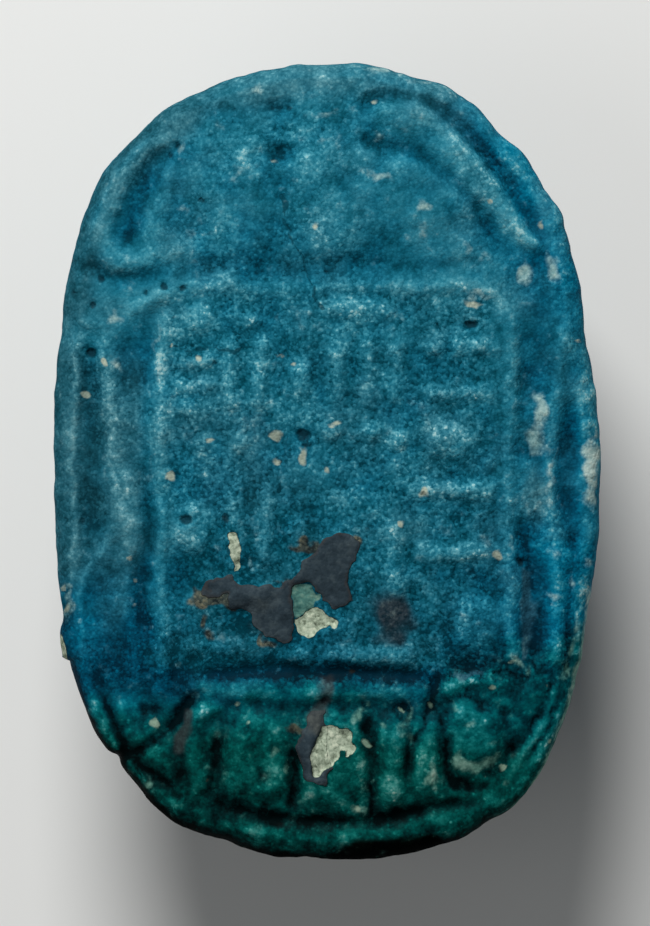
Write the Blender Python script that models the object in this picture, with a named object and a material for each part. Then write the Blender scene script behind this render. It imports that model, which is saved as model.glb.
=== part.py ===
"""Scarab amulet, moulded in one piece of blue glazed faience and lying on its back.

The carved face of the oval base looks up, and the beetle is underneath: head, pronotum, two wing
cases and six legs, with a small flat spot worn on the crown that it lies on. It is all one solid, in
three stretches: the face, a heightfield over the oval; the rounded edge of the base and the beetle's
flank, rings that follow the oval; and the beetle's back, a second heightfield that looks down.

Lengths are in millimetres, and the last step turns them into metres. X is the width, Y runs towards
the beetle's head, and Z is up, with 0 on the surface that the amulet lies on.
"""

import math

import bpy
import numpy as np
from mathutils import Vector
from mathutils.geometry import delaunay_2d_cdt

METRES = 0.001

# Driving dimensions.
LENGTH = 48.0
WIDTH = 33.0
HEIGHT = 19.0

# The oval of the base is four superellipse quarters that meet on a centre a little off the middle.
OVAL_X = 0.8
OVAL_Y = -1.85
LEFT, RIGHT = WIDTH / 2 + OVAL_X, WIDTH / 2 - OVAL_X
AHEAD, BEHIND = LENGTH / 2 - OVAL_Y, LENGTH / 2 + OVAL_Y
AHEAD_LEFT, AHEAD_RIGHT, BEHIND_LEFT, BEHIND_RIGHT = 2.9, 2.42, 2.58, 2.5
OVAL_SIDES = 120

# The face is a shallow pillow inside the rounded edge of the base.
FACE_INSET = 1.0
FACE_CROWN = 1.3
FACE_POWER = 3.0

# Rings of the rounded edge: inset from the oval, and depth below the edge of the face.
EDGE_RINGS = ((0.5, 0.3), (0.14, 0.85), (0.0, 1.9), (0.1, 3.2), (0.5, 4.2), (1.2, 4.8))
LEDGE_Z = HEIGHT - FACE_CROWN - EDGE_RINGS[-1][1]

# The beetle's flank runs from the ledge under the base to the edge of its back.
FLANK_INSET, BACK_INSET = 2.1, 3.8
FLANK_DEPTH = 5.8
FLANK_STEPS = 10

# The beetle's back is a dome cut flat where it rests.
BACK_Z = LEDGE_Z - FLANK_DEPTH
BACK_POWER = 2.2
CROWN_CUT = 0.8

# Where its wing cases begin, and where its head does.
WINGS_TOP = 5.0
HEAD_FOOT = 12.0

# Places where the edge has lost a flake: x, y, reach and depth.
CHIPS = ((14.6, 14.0, 1.2, 0.14), (-12.6, -17.9, 0.7, 0.15))
# Broad hollows of the hand-cut outline, and swells where the depth is below 0.
UNEVEN = (
    (4.9, 23.4, 3.0, 0.28), (10.6, 19.7, 1.9, 0.26), (14.1, 14.6, 3.0, -0.42), (15.7, 6.8, 4.5, 0.3),
    (15.9, -7.7, 4.0, 0.36), (15.0, -12.6, 3.5, 0.26), (13.0, -18.6, 2.6, -0.42), (11.6, -20.5, 2.6, -0.42),
    (-6.0, -22.8, 3.5, 0.3), (-12.2, -18.6, 3.5, 0.26), (-16.0, 7.9, 2.2, 0.33), (-11.6, 19.6, 3.0, 0.28),
    (-7.0, 22.6, 6.5, 0.45),
)

# The left edge swells towards a break, where a flake has come off below it.
BREAK_Y = -12.1
SWELL_LENGTH, SWELL_RISE, SWELL = 2.9, 1.2, 0.4

# Heights of the carving, and half the widths of its lines.
LINE_HEIGHT, LINE_HALF = 0.35, 0.55
STROKE_HEIGHT, STROKE_HALF = 0.3, 0.5
BOLD_HEIGHT = 0.48
HOLLOW = -0.38
LEG_HEIGHT = 1.1
SLOT, SLOT_HALF = -0.55, 0.34

# The frame of the middle panel.
FRAME_LEFT, FRAME_RIGHT = -9.85, 11.0
FRAME_TOP, FRAME_FOOT = 10.45, -13.75
FRAME_CORNER = 1.4

# The fringe along the bottom: its pads stand between slots.
FRINGE_TOP = -14.8
FRINGE_PADS = ((-6.2, -2.2, -20.4), (-1.7, 2.3, -21.2), (2.9, 4.9, -20.7), (5.1, 6.6, -20.4))

# How finely the heightfields are cut.
LATTICE = 2.4
CLEAR_OF_LINES = 0.7
CLEAR_OF_RING = 0.5
LONGEST_EDGE = 2.8
MERGE = 0.02


def oval_radius(x, y, inset=0.0):
    """0 at the oval's centre and 1 on the oval that lies inset inside the base's own."""
    left, behind = x < OVAL_X, y < OVAL_Y
    across = np.where(left, LEFT, RIGHT) - inset
    along = np.where(behind, BEHIND, AHEAD) - inset
    power = np.where(
        behind,
        np.where(left, BEHIND_LEFT, BEHIND_RIGHT),
        np.where(left, AHEAD_LEFT, AHEAD_RIGHT),
    )
    outward = (np.abs(x - OVAL_X) / across) ** power + (np.abs(y - OVAL_Y) / along) ** power
    return outward ** (1.0 / power)


def smooth(value):
    """A ramp from 0 to 1 that starts and ends level."""
    value = np.clip(value, 0.0, 1.0)
    return value * value * (3.0 - 2.0 * value)


def oval_ring(inset, swell=0.0):
    """The points of a ring inset inside the oval, anticlockwise, chipped where a flake is lost."""
    turn = (np.arange(OVAL_SIDES) + 0.5) * 2.0 * math.pi / OVAL_SIDES
    turn += 0.16 * np.sin(2.0 * turn)
    across, along = WIDTH / 2 * np.cos(turn), LENGTH / 2 * np.sin(turn)
    reach = 1.0 / oval_radius(OVAL_X + across, OVAL_Y + along)
    x, y = OVAL_X + across * reach, OVAL_Y + along * reach
    ahead_x, ahead_y = np.roll(x, -1) - np.roll(x, 1), np.roll(y, -1) - np.roll(y, 1)
    inward = inset - swell
    if inset < BACK_INSET / 2:
        for chip_x, chip_y, reach, depth in CHIPS + UNEVEN:
            inward = inward + depth * smooth(1.0 - np.hypot(x - chip_x, y - chip_y) / reach)
        swollen = smooth((BREAK_Y + SWELL_LENGTH - y) / SWELL_RISE) * smooth((y - BREAK_Y) / 0.35)
        inward = inward - SWELL * swollen * (x < OVAL_X)
    scale = inward / np.hypot(ahead_x, ahead_y)
    return np.stack([x - scale * ahead_y, y + scale * ahead_x], axis=1)


class Band:
    """A line of relief, raised where its height is above 0 and sunk where it is below.

    points are (x, y, half width) on the line. Three or more make a smooth curve."""

    CURVE_STEPS = 2

    def __init__(self, height, *points):
        self.height = height
        self.line = np.array(points, float)
        if len(points) > 2:
            self.line = self.curved(self.line)

    def curved(self, points):
        """A Catmull-Rom curve through the points."""
        ends = np.vstack([2 * points[0] - points[1], points, 2 * points[-1] - points[-2]])
        made = []
        for a, b, c, d in zip(ends, ends[1:], ends[2:], ends[3:]):
            for t in np.arange(self.CURVE_STEPS) / self.CURVE_STEPS:
                bend = (2 * a - 5 * b + 4 * c - d) * t**2 + (3 * b - a - 3 * c + d) * t**3
                made.append(b + 0.5 * ((c - a) * t + bend))
        return np.array([*made, points[-1]])

    def share(self, x, y):
        """1 on the middle of the line, and 0 from its edge outwards."""
        best = np.zeros_like(x)
        for a, b in zip(self.line, self.line[1:]):
            run_x, run_y, widening = b - a
            along = ((x - a[0]) * run_x + (y - a[1]) * run_y) / (run_x**2 + run_y**2)
            along = np.clip(along, 0.0, 1.0)
            away = np.hypot(x - a[0] - along * run_x, y - a[1] - along * run_y)
            best = np.maximum(best, 1.0 - away / (a[2] + along * widening))
        return best

    def outlines(self):
        """Its two sides, its middle line and a short tip at each end."""
        x, y, half = self.line.T
        run_x, run_y = np.gradient(x), np.gradient(y)
        run_x, run_y = run_x / np.hypot(run_x, run_y), run_y / np.hypot(run_x, run_y)
        left = [(a, b) for a, b in zip(x - half * run_y, y + half * run_x)]
        right = [(a, b) for a, b in zip(x + half * run_y, y - half * run_x)]
        start = (x[0] - half[0] * run_x[0], y[0] - half[0] * run_y[0])
        end = (x[-1] + half[-1] * run_x[-1], y[-1] + half[-1] * run_y[-1])
        edge = [start, *right, end, *reversed(left), start]
        return [edge, list(zip(x, y))]


class Mound:
    """A raised or sunk patch whose outline is a rounded box, level in its middle."""

    SIDES = 12

    def __init__(self, height, x, y, half_x, half_y, slant=0.0, shoulder=0.45, squareness=2.8):
        self.height, self.x, self.y = height, x, y
        self.half_x, self.half_y, self.slant = half_x, half_y, math.radians(slant)
        self.shoulder, self.squareness = shoulder, squareness

    def radius(self, x, y):
        c, s = math.cos(self.slant), math.sin(self.slant)
        across = np.abs((x - self.x) * c + (y - self.y) * s) / self.half_x
        along = np.abs((y - self.y) * c - (x - self.x) * s) / self.half_y
        return (across**self.squareness + along**self.squareness) ** (1.0 / self.squareness)

    def share(self, x, y):
        """1 over the level middle, and 0 from the foot of the slope outwards."""
        return np.clip((1.0 - self.radius(x, y)) / self.shoulder, 0.0, 1.0)

    def outlines(self):
        """The foot of its slope, and the edge of its level middle."""
        turn = (np.arange(self.SIDES + 1) + 0.5) * 2.0 * math.pi / self.SIDES
        c, s = math.cos(self.slant), math.sin(self.slant)
        out_x, out_y = self.half_x * np.cos(turn), self.half_y * np.sin(turn)
        out_x, out_y = out_x * c - out_y * s, out_x * s + out_y * c
        reach = 1.0 / self.radius(self.x + out_x, self.y + out_y)
        foot = list(zip(self.x + reach * out_x, self.y + reach * out_y))
        reach = reach * (1.0 - self.shoulder)
        crest = list(zip(self.x + reach * out_x, self.y + reach * out_y))
        return [foot, crest]


def upright(x, top, foot):
    return Band(STROKE_HEIGHT, (x, top, STROKE_HALF), (x, foot, STROKE_HALF))


def level(y, left, right, half=STROKE_HALF):
    return Band(STROKE_HEIGHT, (left, y, half), (right, y, half))


def dot(x, y, radius=0.6):
    return Mound(STROKE_HEIGHT, x, y, radius, radius, squareness=2.0)


def top_carving():
    """The dome at the top, a loop on its left and a long crescent on its right."""
    return [
        Mound(LINE_HEIGHT, 0.0, 16.0, 9.6, 4.4, shoulder=0.7),
        # The small hollows above the dome.
        Mound(1.5 * HOLLOW, -2.9, 18.6, 1.2, 0.8, slant=-14, shoulder=0.9, squareness=2.0),
        Band(LINE_HEIGHT, (-4.0, 19.3, 0.4), (-5.1, 18.6, 0.5), (-4.3, 17.6, 0.45), (-2.8, 17.2, 0.3)),
        Mound(HOLLOW, -3.2, 21.4, 1.3, 0.6, shoulder=0.9, squareness=2.0),
        Mound(0.6 * HOLLOW, -6.0, 21.3, 0.5, 0.4, shoulder=0.9, squareness=2.0),
        Band(0.8 * HOLLOW, (2.2, 21.4, 0.6), (3.4, 21.7, 0.6), (5.0, 21.6, 0.5)),
        Band(0.4 * LINE_HEIGHT, (1.2, 20.9, 0.4), (2.4, 20.5, 0.4), (4.6, 20.9, 0.4)),
        # The loop: its outer arm, foot and inner arm are one line round a long hollow.
        Band(
            BOLD_HEIGHT,
            (-9.5, 19.3, 0.5), (-10.9, 18.6, 0.8), (-12.2, 17.2, 0.95), (-13.1, 15.3, 1.0),
            (-13.5, 13.7, 1.0), (-12.9, 12.4, 1.05), (-11.8, 12.1, 1.05), (-10.8, 12.8, 1.0),
            (-10.3, 14.4, 0.85), (-9.8, 16.0, 0.7), (-9.3, 17.6, 0.4),
        ),
        Mound(0.8 * HOLLOW, -12.0, 14.3, 0.9, 1.2, shoulder=0.8, squareness=2.2),
        Band(0.3 * HOLLOW, (-11.5, 15.6, 0.7), (-10.6, 17.2, 0.5), (-9.5, 18.7, 0.35)),
        Band(0.75 * HOLLOW, (-14.3, 11.8, 0.5), (-12.6, 11.1, 0.5), (-10.4, 11.4, 0.5), (-9.2, 12.2, 0.4)),
        Band(0.5 * HOLLOW, (-9.4, 11.9, 0.6), (-4.0, 11.7, 0.6), (3.0, 11.8, 0.6), (9.0, 11.9, 0.5)),
        # The crescent: its body, the crest along its outer edge, and a groove along each side.
        Band(
            0.8 * LINE_HEIGHT,
            (3.4, 20.4, 0.5), (5.0, 20.1, 0.7), (6.9, 19.4, 0.8), (8.2, 18.1, 0.9), (9.3, 16.3, 0.8),
        ),
        Band(
            BOLD_HEIGHT,
            (3.4, 20.9, 0.4), (5.2, 20.8, 0.5), (6.6, 20.3, 0.6), (7.9, 19.3, 0.65), (9.0, 18.0, 0.7),
            (9.9, 16.5, 0.7), (10.6, 15.1, 0.75), (11.5, 14.0, 0.75), (12.5, 13.1, 0.6),
        ),
        Band(
            1.4 * HOLLOW,
            (5.7, 21.5, 0.4), (7.8, 20.5, 0.55), (9.3, 19.0, 0.6), (10.5, 17.4, 0.65),
            (11.6, 15.9, 0.75), (12.4, 14.6, 0.65), (12.9, 13.8, 0.4),
        ),
        Band(
            1.6 * HOLLOW,
            (2.2, 19.2, 0.4), (3.6, 18.6, 0.55), (5.6, 18.5, 0.55), (7.4, 17.3, 0.5), (8.5, 16.1, 0.35),
        ),
        Band(0.7 * LINE_HEIGHT, (1.7, 20.0, 0.35), (1.6, 18.9, 0.4), (2.4, 17.8, 0.4), (4.2, 17.2, 0.35)),
        Band(1.3 * HOLLOW, (8.9, 15.6, 0.35), (9.5, 14.3, 0.5), (10.5, 13.1, 0.3)),
    ]


def panel_frame():
    """The thin raised frame of the middle panel, open at its lower right corner."""
    corner = FRAME_CORNER
    return [
        Band(LINE_HEIGHT, (-11.6, 9.0, 0.5), (-10.2, 9.9, 0.6), (-8.6, FRAME_TOP, LINE_HALF)),
        Band(0.7 * LINE_HEIGHT, (-8.6, FRAME_TOP, LINE_HALF), (FRAME_RIGHT - corner, FRAME_TOP, LINE_HALF)),
        Band(
            LINE_HEIGHT,
            (FRAME_RIGHT - corner, FRAME_TOP, LINE_HALF),
            (FRAME_RIGHT - 0.35 * corner, FRAME_TOP - 0.35 * corner, LINE_HALF),
            (FRAME_RIGHT, FRAME_TOP - corner, LINE_HALF),
        ),
        Band(LINE_HEIGHT, (FRAME_RIGHT, FRAME_TOP - corner, LINE_HALF), (FRAME_RIGHT, -11.6, LINE_HALF)),
        Band(LINE_HEIGHT, (FRAME_LEFT, 8.4, LINE_HALF), (FRAME_LEFT - 0.1, FRAME_FOOT, LINE_HALF)),
        Band(0.8 * LINE_HEIGHT, (-7.6, FRAME_FOOT, 0.7), (6.0, FRAME_FOOT, 0.7)),
        Band(1.1 * HOLLOW, (-7.0, -12.7, 0.45), (-2.0, -12.55, 0.5), (5.6, -12.7, 0.45)),
    ]


def panel_strokes():
    """Rows of shallow strokes and dots inside the frame, which stand for its worn signs."""
    return [
        # First row.
        Mound(STROKE_HEIGHT, -7.7, 8.4, 1.3, 1.0, shoulder=0.8),
        dot(-4.6, 8.6),
        level(9.1, 0.4, 3.9),
        *[dot(x, 7.0) for x in (6.4, 7.7, 9.0, 10.0)],
        # Second row.
        *[level(y, -8.8, -6.9) for y in (6.0, 4.5, 3.0)],
        *[upright(x, 7.0, 3.2) for x in (-5.7, -3.8)],
        Mound(STROKE_HEIGHT, -1.4, 4.9, 0.8, 1.5, shoulder=0.8),
        *[upright(x, 7.2, 3.9) for x in (0.6, 2.5, 4.3)],
        level(4.1, 6.5, 10.0),
        # Third row.
        *[dot(x, y) for x, y in ((-7.5, 0.9), (-5.1, 1.0), (0.3, 1.7), (2.9, 1.7), (4.5, 1.2))],
        Mound(STROKE_HEIGHT, 7.7, 1.3, 1.8, 1.4, shoulder=0.8),
        # Fourth row.
        Mound(STROKE_HEIGHT, -8.0, -4.0, 1.4, 2.0, shoulder=0.7),
        *[upright(x, -2.1, -6.2) for x in (-5.6, -3.8)],
        Mound(STROKE_HEIGHT, -1.8, -4.1, 0.9, 0.9, shoulder=0.8),
        level(-1.9, 5.6, 9.6, half=0.75),
        upright(4.1, -4.1, -7.5),
        level(-5.4, 5.6, 9.8, half=0.7),
        # Fifth row.
        *[level(y, -8.2, -3.8, half=0.75) for y in (-8.3, -11.1)],
        dot(-1.6, -11.6),
        level(-11.7, 0.2, 5.2, half=0.7),
        Mound(STROKE_HEIGHT, 9.0, -9.7, 2.0, 1.9, shoulder=0.7),
    ]


def leaves():
    """A long leaf down each side of the panel, with the ridges and hollows around it."""
    return [
        # Left leaf.
        Band(
            LINE_HEIGHT,
            (-14.4, 8.4, 0.5), (-13.4, 8.0, 0.6), (-12.9, 4.0, 0.6), (-12.5, -1.0, 0.6),
            (-12.6, -3.4, 0.6), (-13.3, -5.2, 0.5), (-13.8, -5.9, 0.3),
        ),
        Band(
            0.9 * LINE_HEIGHT,
            (-14.1, -5.9, 0.35), (-14.8, -7.6, 0.4), (-14.9, -9.0, 0.4), (-14.6, -11.6, 0.5),
        ),
        Band(HOLLOW, (-14.3, 7.0, 0.4), (-14.2, 3.5, 0.9), (-14.1, -1.0, 1.0), (-14.6, -5.2, 0.5)),
        Band(
            0.9 * LINE_HEIGHT,
            (-14.9, 7.4, 0.35), (-15.2, 2.0, 0.32), (-15.25, -4.0, 0.32), (-15.2, -7.4, 0.32),
        ),
        Mound(STROKE_HEIGHT, -11.9, -3.2, 0.9, 3.6, shoulder=0.6),
        Band(0.9 * HOLLOW, (-11.4, -6.4, 0.5), (-11.2, -8.0, 0.7), (-11.0, -9.8, 0.5)),
        Band(0.9 * HOLLOW, (-10.8, -0.6, 0.4), (-10.75, -4.0, 0.5), (-10.8, -7.2, 0.4)),
        Mound(0.7 * HOLLOW, -11.3, 6.1, 1.1, 2.7, shoulder=0.6),
        Band(0.6 * LINE_HEIGHT, (-11.9, -8.5, 0.5), (-11.7, -11.0, 0.6), (-11.4, -13.5, 0.4)),
        # Right leaf.
        Band(
            LINE_HEIGHT,
            (14.3, 8.0, 0.5), (13.75, 4.0, 0.6), (13.6, 0.0, 0.6), (13.5, -3.0, 0.6),
            (13.7, -4.9, 0.6), (14.4, -6.4, 0.4),
        ),
        Band(0.85 * HOLLOW, (14.6, 3.6, 0.4), (14.8, 0.5, 0.8), (14.7, -3.0, 0.8), (14.9, -6.0, 0.4)),
        Band(0.5 * LINE_HEIGHT, (14.6, 7.2, 0.4), (15.5, 4.5, 0.4), (15.9, 1.0, 0.4)),
        Mound(0.7 * HOLLOW, 12.2, 6.0, 1.0, 2.7, shoulder=0.6),
        Mound(STROKE_HEIGHT, 12.2, -1.9, 1.0, 2.3, shoulder=0.6),
        Band(0.9 * HOLLOW, (11.8, -4.6, 0.45), (12.0, -6.4, 0.5), (12.1, -9.0, 0.5), (12.1, -11.8, 0.3)),
        Band(1.1 * HOLLOW, (12.6, -6.4, 0.25), (12.8, -8.2, 0.25), (12.6, -10.5, 0.25), (12.2, -12.2, 0.25)),
        Band(1.2 * LINE_HEIGHT, (13.5, -5.8, 0.5), (13.85, -9.0, 0.65), (13.7, -11.9, 0.5)),
        Band(
            1.1 * HOLLOW,
            (14.5, -6.8, 0.15), (14.55, -11.0, 0.15), (14.1, -13.9, 0.25),
            (13.2, -16.1, 0.22), (11.9, -18.3, 0.22),
        ),
        Band(
            1.1 * HOLLOW,
            (13.8, -12.6, 0.2), (13.3, -14.1, 0.25), (12.3, -16.2, 0.25), (11.0, -17.9, 0.22),
        ),
        Band(0.4 * LINE_HEIGHT, (13.9, -13.5, 0.3), (12.9, -15.9, 0.35), (11.6, -17.9, 0.3)),
        Band(
            0.5 * LINE_HEIGHT,
            (15.2, -8.0, 0.4), (15.1, -10.8, 0.4), (14.6, -13.4, 0.4), (13.4, -16.8, 0.4),
        ),
    ]


def fringe():
    """The row of pads under the panel, between an arch on the left and a knob on the right."""
    pads = [
        Mound(
            BOLD_HEIGHT,
            (left + right) / 2,
            (FRINGE_TOP + foot) / 2,
            (right - left) / 2,
            (FRINGE_TOP - foot) / 2,
            shoulder=0.45,
            squareness=3.6,
        )
        for left, right, foot in FRINGE_PADS
    ]
    slots = [
        Band(SLOT, (-6.55, -16.6, SLOT_HALF), (-6.75, -19.7, SLOT_HALF)),
        Band(SLOT, (-1.95, -17.3, SLOT_HALF), (-1.95, -20.6, SLOT_HALF)),
        Band(0.9 * SLOT, (2.6, -18.5, 0.2), (2.75, -21.1, SLOT_HALF)),
        Band(0.6 * SLOT, (2.35, -15.2, SLOT_HALF), (2.4, -16.5, SLOT_HALF)),
        Band(SLOT, (6.85, -12.9, 0.25), (6.45, -13.9, 0.25), (5.95, -15.3, 0.22), (5.3, -16.8, 0.22)),
        Band(0.3 * SLOT, (5.05, -17.0, SLOT_HALF), (4.95, -19.0, SLOT_HALF)),
    ]
    return [
        *pads,
        *slots,
        Mound(0.8 * HOLLOW, -3.8, -18.8, 0.8, 0.8, shoulder=0.9, squareness=2.0),
        Band(0.6 * HOLLOW, (-5.6, -14.6, 0.4), (0.0, -14.75, 0.4), (4.8, -14.6, 0.4)),
        # The arch on the left, with a groove that runs down beside it.
        Band(BOLD_HEIGHT, (-6.6, -14.9, 0.5), (-7.8, -15.6, 0.65), (-8.1, -17.4, 0.7), (-7.7, -19.2, 0.5)),
        Band(
            1.4 * HOLLOW,
            (-7.7, -14.1, 0.3), (-8.5, -14.9, 0.4), (-9.3, -15.9, 0.35),
            (-10.3, -16.7, 0.2), (-11.6, -17.5, 0.15),
        ),
        Band(0.8 * HOLLOW, (-9.0, -17.6, 0.25), (-8.7, -18.6, 0.25), (-8.0, -19.4, 0.2)),
        Mound(0.9 * LINE_HEIGHT, -12.1, -15.1, 0.8, 1.0, slant=20, shoulder=0.8, squareness=2.0),
        Mound(0.9 * LINE_HEIGHT, -11.3, -16.6, 0.8, 0.6, slant=20, shoulder=0.8, squareness=2.0),
        Mound(LINE_HEIGHT, -10.1, -18.0, 0.9, 0.9, shoulder=0.8, squareness=2.0),
        Mound(1.3 * HOLLOW, -10.6, -14.9, 0.8, 0.4, shoulder=0.9, squareness=2.0),
        # The groove inside the rim, the rim's roll beside it, and a notch across the roll.
        Band(
            1.3 * HOLLOW,
            (-13.9, -12.4, 0.2), (-13.3, -14.6, 0.22), (-12.7, -16.1, 0.25),
            (-11.8, -17.6, 0.3), (-10.8, -18.6, 0.3), (-9.2, -19.4, 0.25),
        ),
        Band(
            LINE_HEIGHT,
            (-14.6, -11.6, 0.5), (-14.1, -14.3, 0.6), (-13.4, -16.2, 0.6), (-12.8, -17.3, 0.5),
        ),
        Band(
            0.8 * LINE_HEIGHT,
            (-12.0, -18.3, 0.5), (-10.7, -19.4, 0.6), (-8.8, -20.7, 0.65), (-5.5, -22.0, 0.6),
            (-2.0, -22.5, 0.55), (1.5, -22.5, 0.5), (4.5, -22.1, 0.4),
        ),
        Band(1.6 * HOLLOW, (-11.6, -17.7, 0.35), (-13.0, -17.9, 0.35)),
        # The knob on the right, over a deep hollow.
        Mound(BOLD_HEIGHT, 8.75, -16.4, 2.05, 2.15, shoulder=0.5, squareness=3.0),
        Band(1.5 * HOLLOW, (7.15, -16.6, 0.25), (7.1, -18.3, 0.4), (8.0, -19.4, 0.6), (9.4, -19.6, 0.35)),
        Mound(1.2 * HOLLOW, 11.2, -17.6, 0.35, 0.5, shoulder=0.8, squareness=2.0),
        Band(1.4 * HOLLOW, (9.0, -14.8, 0.3), (9.9, -15.0, 0.4), (10.8, -15.5, 0.35)),
        Mound(HOLLOW, 8.5, -12.3, 0.7, 0.6, shoulder=0.9, squareness=2.0),
        Band(LINE_HEIGHT, (7.2, -13.8, 0.5), (9.0, -13.2, 0.5), (10.4, -13.7, 0.4)),
        Band(0.9 * HOLLOW, (7.3, -10.0, 0.3), (7.7, -12.0, 0.35), (9.0, -12.75, 0.35)),
        Mound(0.8 * LINE_HEIGHT, 12.0, -14.0, 0.9, 0.8, shoulder=0.9, squareness=2.0),
        # The groove between the fringe and the rim.
        Band(
            1.2 * HOLLOW,
            (-6.2, -20.4, 0.35), (-4.2, -21.2, 0.4), (-1.6, -21.5, 0.35), (0.8, -21.65, 0.35),
            (3.0, -21.4, 0.45), (5.0, -21.0, 0.6), (9.2, -20.4, 0.35),
        ),
    ]


def beetle_back():
    """The lines of the beetle's back: its head, pronotum and wing cases."""
    middle = OVAL_X
    forms = [
        # The line between the wing cases, and the two lines across the back.
        Band(HOLLOW, (middle, WINGS_TOP, 0.45), (middle, -18.5, 0.4)),
        Band(
            HOLLOW,
            (middle - 12.4, WINGS_TOP + 1.8, 0.4), (middle - 6.3, WINGS_TOP + 0.4, 0.5),
            (middle, WINGS_TOP, 0.5),
            (middle + 6.3, WINGS_TOP + 0.4, 0.5), (middle + 11.6, WINGS_TOP + 1.8, 0.4),
        ),
        Band(
            HOLLOW,
            (middle - 10.0, HEAD_FOOT + 1.4, 0.5), (middle - 5.0, HEAD_FOOT + 0.2, 0.5),
            (middle, HEAD_FOOT, 0.5),
            (middle + 5.0, HEAD_FOOT + 0.2, 0.5), (middle + 10.0, HEAD_FOOT + 1.4, 0.5),
        ),
        # The ridge on the head.
        Band(LINE_HEIGHT, (middle, HEAD_FOOT + 1.6, 0.5), (middle, HEAD_FOOT + 5.2, 0.6)),
    ]
    for side in (-1, 1):
        forms += [
            # The gap between the head and a front leg, an eye, and the notches of the head's edge.
            Mound(
                3.2 * HOLLOW, middle + side * 8.6, HEAD_FOOT + 3.6, 2.2, 2.3,
                slant=side * 25, squareness=2.2,
            ),
            Mound(BOLD_HEIGHT, middle + side * 5.0, HEAD_FOOT + 2.1, 1.2, 1.0, squareness=2.0),
            Band(
                HOLLOW,
                (middle + side * 2.0, HEAD_FOOT + 3.6, 0.4),
                (middle + side * 2.7, HEAD_FOOT + 6.6, 0.5),
            ),
            # The callus at the shoulder of a wing case.
            Band(
                HOLLOW,
                (middle + side * 10.2, WINGS_TOP + 1.1, 0.4),
                (middle + side * 7.8, WINGS_TOP - 3.0, 0.4),
            ),
        ]
    return forms


def beetle_legs():
    """The legs on each flank, as lines over (y, depth below the ledge)."""
    return [
        Band(1.0, (7.5, 4.4, 1.6), (13.0, 2.6, 1.7), (18.0, 1.6, 1.5)),
        Band(1.0, (4.0, 4.4, 1.6), (-1.0, 2.6, 1.7), (-6.0, 1.6, 1.5)),
        Band(1.0, (-4.5, 4.6, 1.6), (-10.0, 2.9, 1.7), (-17.0, 1.7, 1.5)),
    ]


def relief(forms, x, y):
    """The height of the carving: the highest raised form plus the deepest sunk one."""
    raised, sunk = np.zeros_like(x), np.zeros_like(x)
    for form in forms:
        height = form.height * form.share(x, y)
        raised, sunk = np.maximum(raised, height), np.minimum(sunk, height)
    return raised + sunk


def lattice(inset, lines):
    """Evenly spread points inside the oval, clear of the carving's own lines."""
    rows = np.arange(-LENGTH / 2, LENGTH / 2, LATTICE * math.sqrt(3) / 2)
    columns = np.arange(-WIDTH / 2, WIDTH / 2 + LATTICE, LATTICE)
    x = np.concatenate([columns + (row % 2) * LATTICE / 2 for row in range(len(rows))])
    y = np.repeat(rows, len(columns))
    keep = oval_radius(x, y, inset + CLEAR_OF_LINES) < 1.0
    for line in lines:
        for (ax, ay), (bx, by) in zip(line, line[1:]):
            run = max((bx - ax) ** 2 + (by - ay) ** 2, MERGE**2)
            along = np.clip(((x - ax) * (bx - ax) + (y - ay) * (by - ay)) / run, 0.0, 1.0)
            away = np.hypot(x - ax - along * (bx - ax), y - ay - along * (by - ay))
            keep &= away > CLEAR_OF_LINES
    return list(zip(x[keep], y[keep]))


def short_pieces(start, end):
    """A straight line cut into equal pieces, so that it can follow the curve of the surface."""
    count = math.ceil(math.dist(start, end) / LONGEST_EDGE)
    x, y = np.linspace(start[0], end[0], count + 1), np.linspace(start[1], end[1], count + 1)
    cuts = list(zip(x, y))
    return [list(piece) for piece in zip(cuts, cuts[1:])]


def triangulate(ring, inset, forms):
    """Cut the area inside a ring into triangles whose edges follow the carving.

    The ring's own points come first in the result, in their order."""
    lines = []
    for form in forms:
        for outline in form.outlines():
            x, y = np.array(outline).T
            inside = oval_radius(x, y, inset + CLEAR_OF_RING) < 1.0
            for first in range(len(outline) - 1):
                if inside[first] and inside[first + 1]:
                    lines += short_pieces(*outline[first:first + 2])
    points = [tuple(p) for p in ring]
    edges = [(i, (i + 1) % len(ring)) for i in range(len(ring))]
    for line in lines:
        edges.append((len(points), len(points) + 1))
        points += line
    points += lattice(inset, lines)
    flat, _, faces, sources, _, _ = delaunay_2d_cdt([Vector(p) for p in points], edges, [], 1, MERGE)
    place = {}
    for index, source in enumerate(sources):
        for original in source:
            place[original] = index
    ordered = [place[i] for i in range(len(ring))]
    on_ring = set(ordered)
    ordered += [i for i in range(len(flat)) if i not in on_ring]
    new_index = {old: new for new, old in enumerate(ordered)}
    flat = np.array([flat[i] for i in ordered])
    return flat, [tuple(new_index[i] for i in face) for face in faces]


def face_carving():
    """All that is carved on the face."""
    return [*top_carving(), *panel_frame(), *panel_strokes(), *leaves(), *fringe()]


def face_heights(x, y):
    """The face: a shallow pillow with its carving."""
    edge = oval_radius(x, y, FACE_INSET)
    fade = np.clip((1.0 - edge) / 0.03, 0.0, 1.0)
    return HEIGHT - FACE_CROWN * edge**FACE_POWER + fade * relief(face_carving(), x, y)


def back_heights(x, y):
    """The beetle's back, which looks down: a dome with its carving, level where it rests."""
    edge = np.clip(oval_radius(x, y, BACK_INSET), 0.0, 1.0)
    fade = np.clip((1.0 - edge) / 0.08, 0.0, 1.0)
    dome = BACK_Z - (BACK_Z + CROWN_CUT) * (1.0 - edge**BACK_POWER)
    return np.maximum(np.maximum(dome, 0.0) - fade * relief(beetle_back(), x, y), 0.0)


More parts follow.
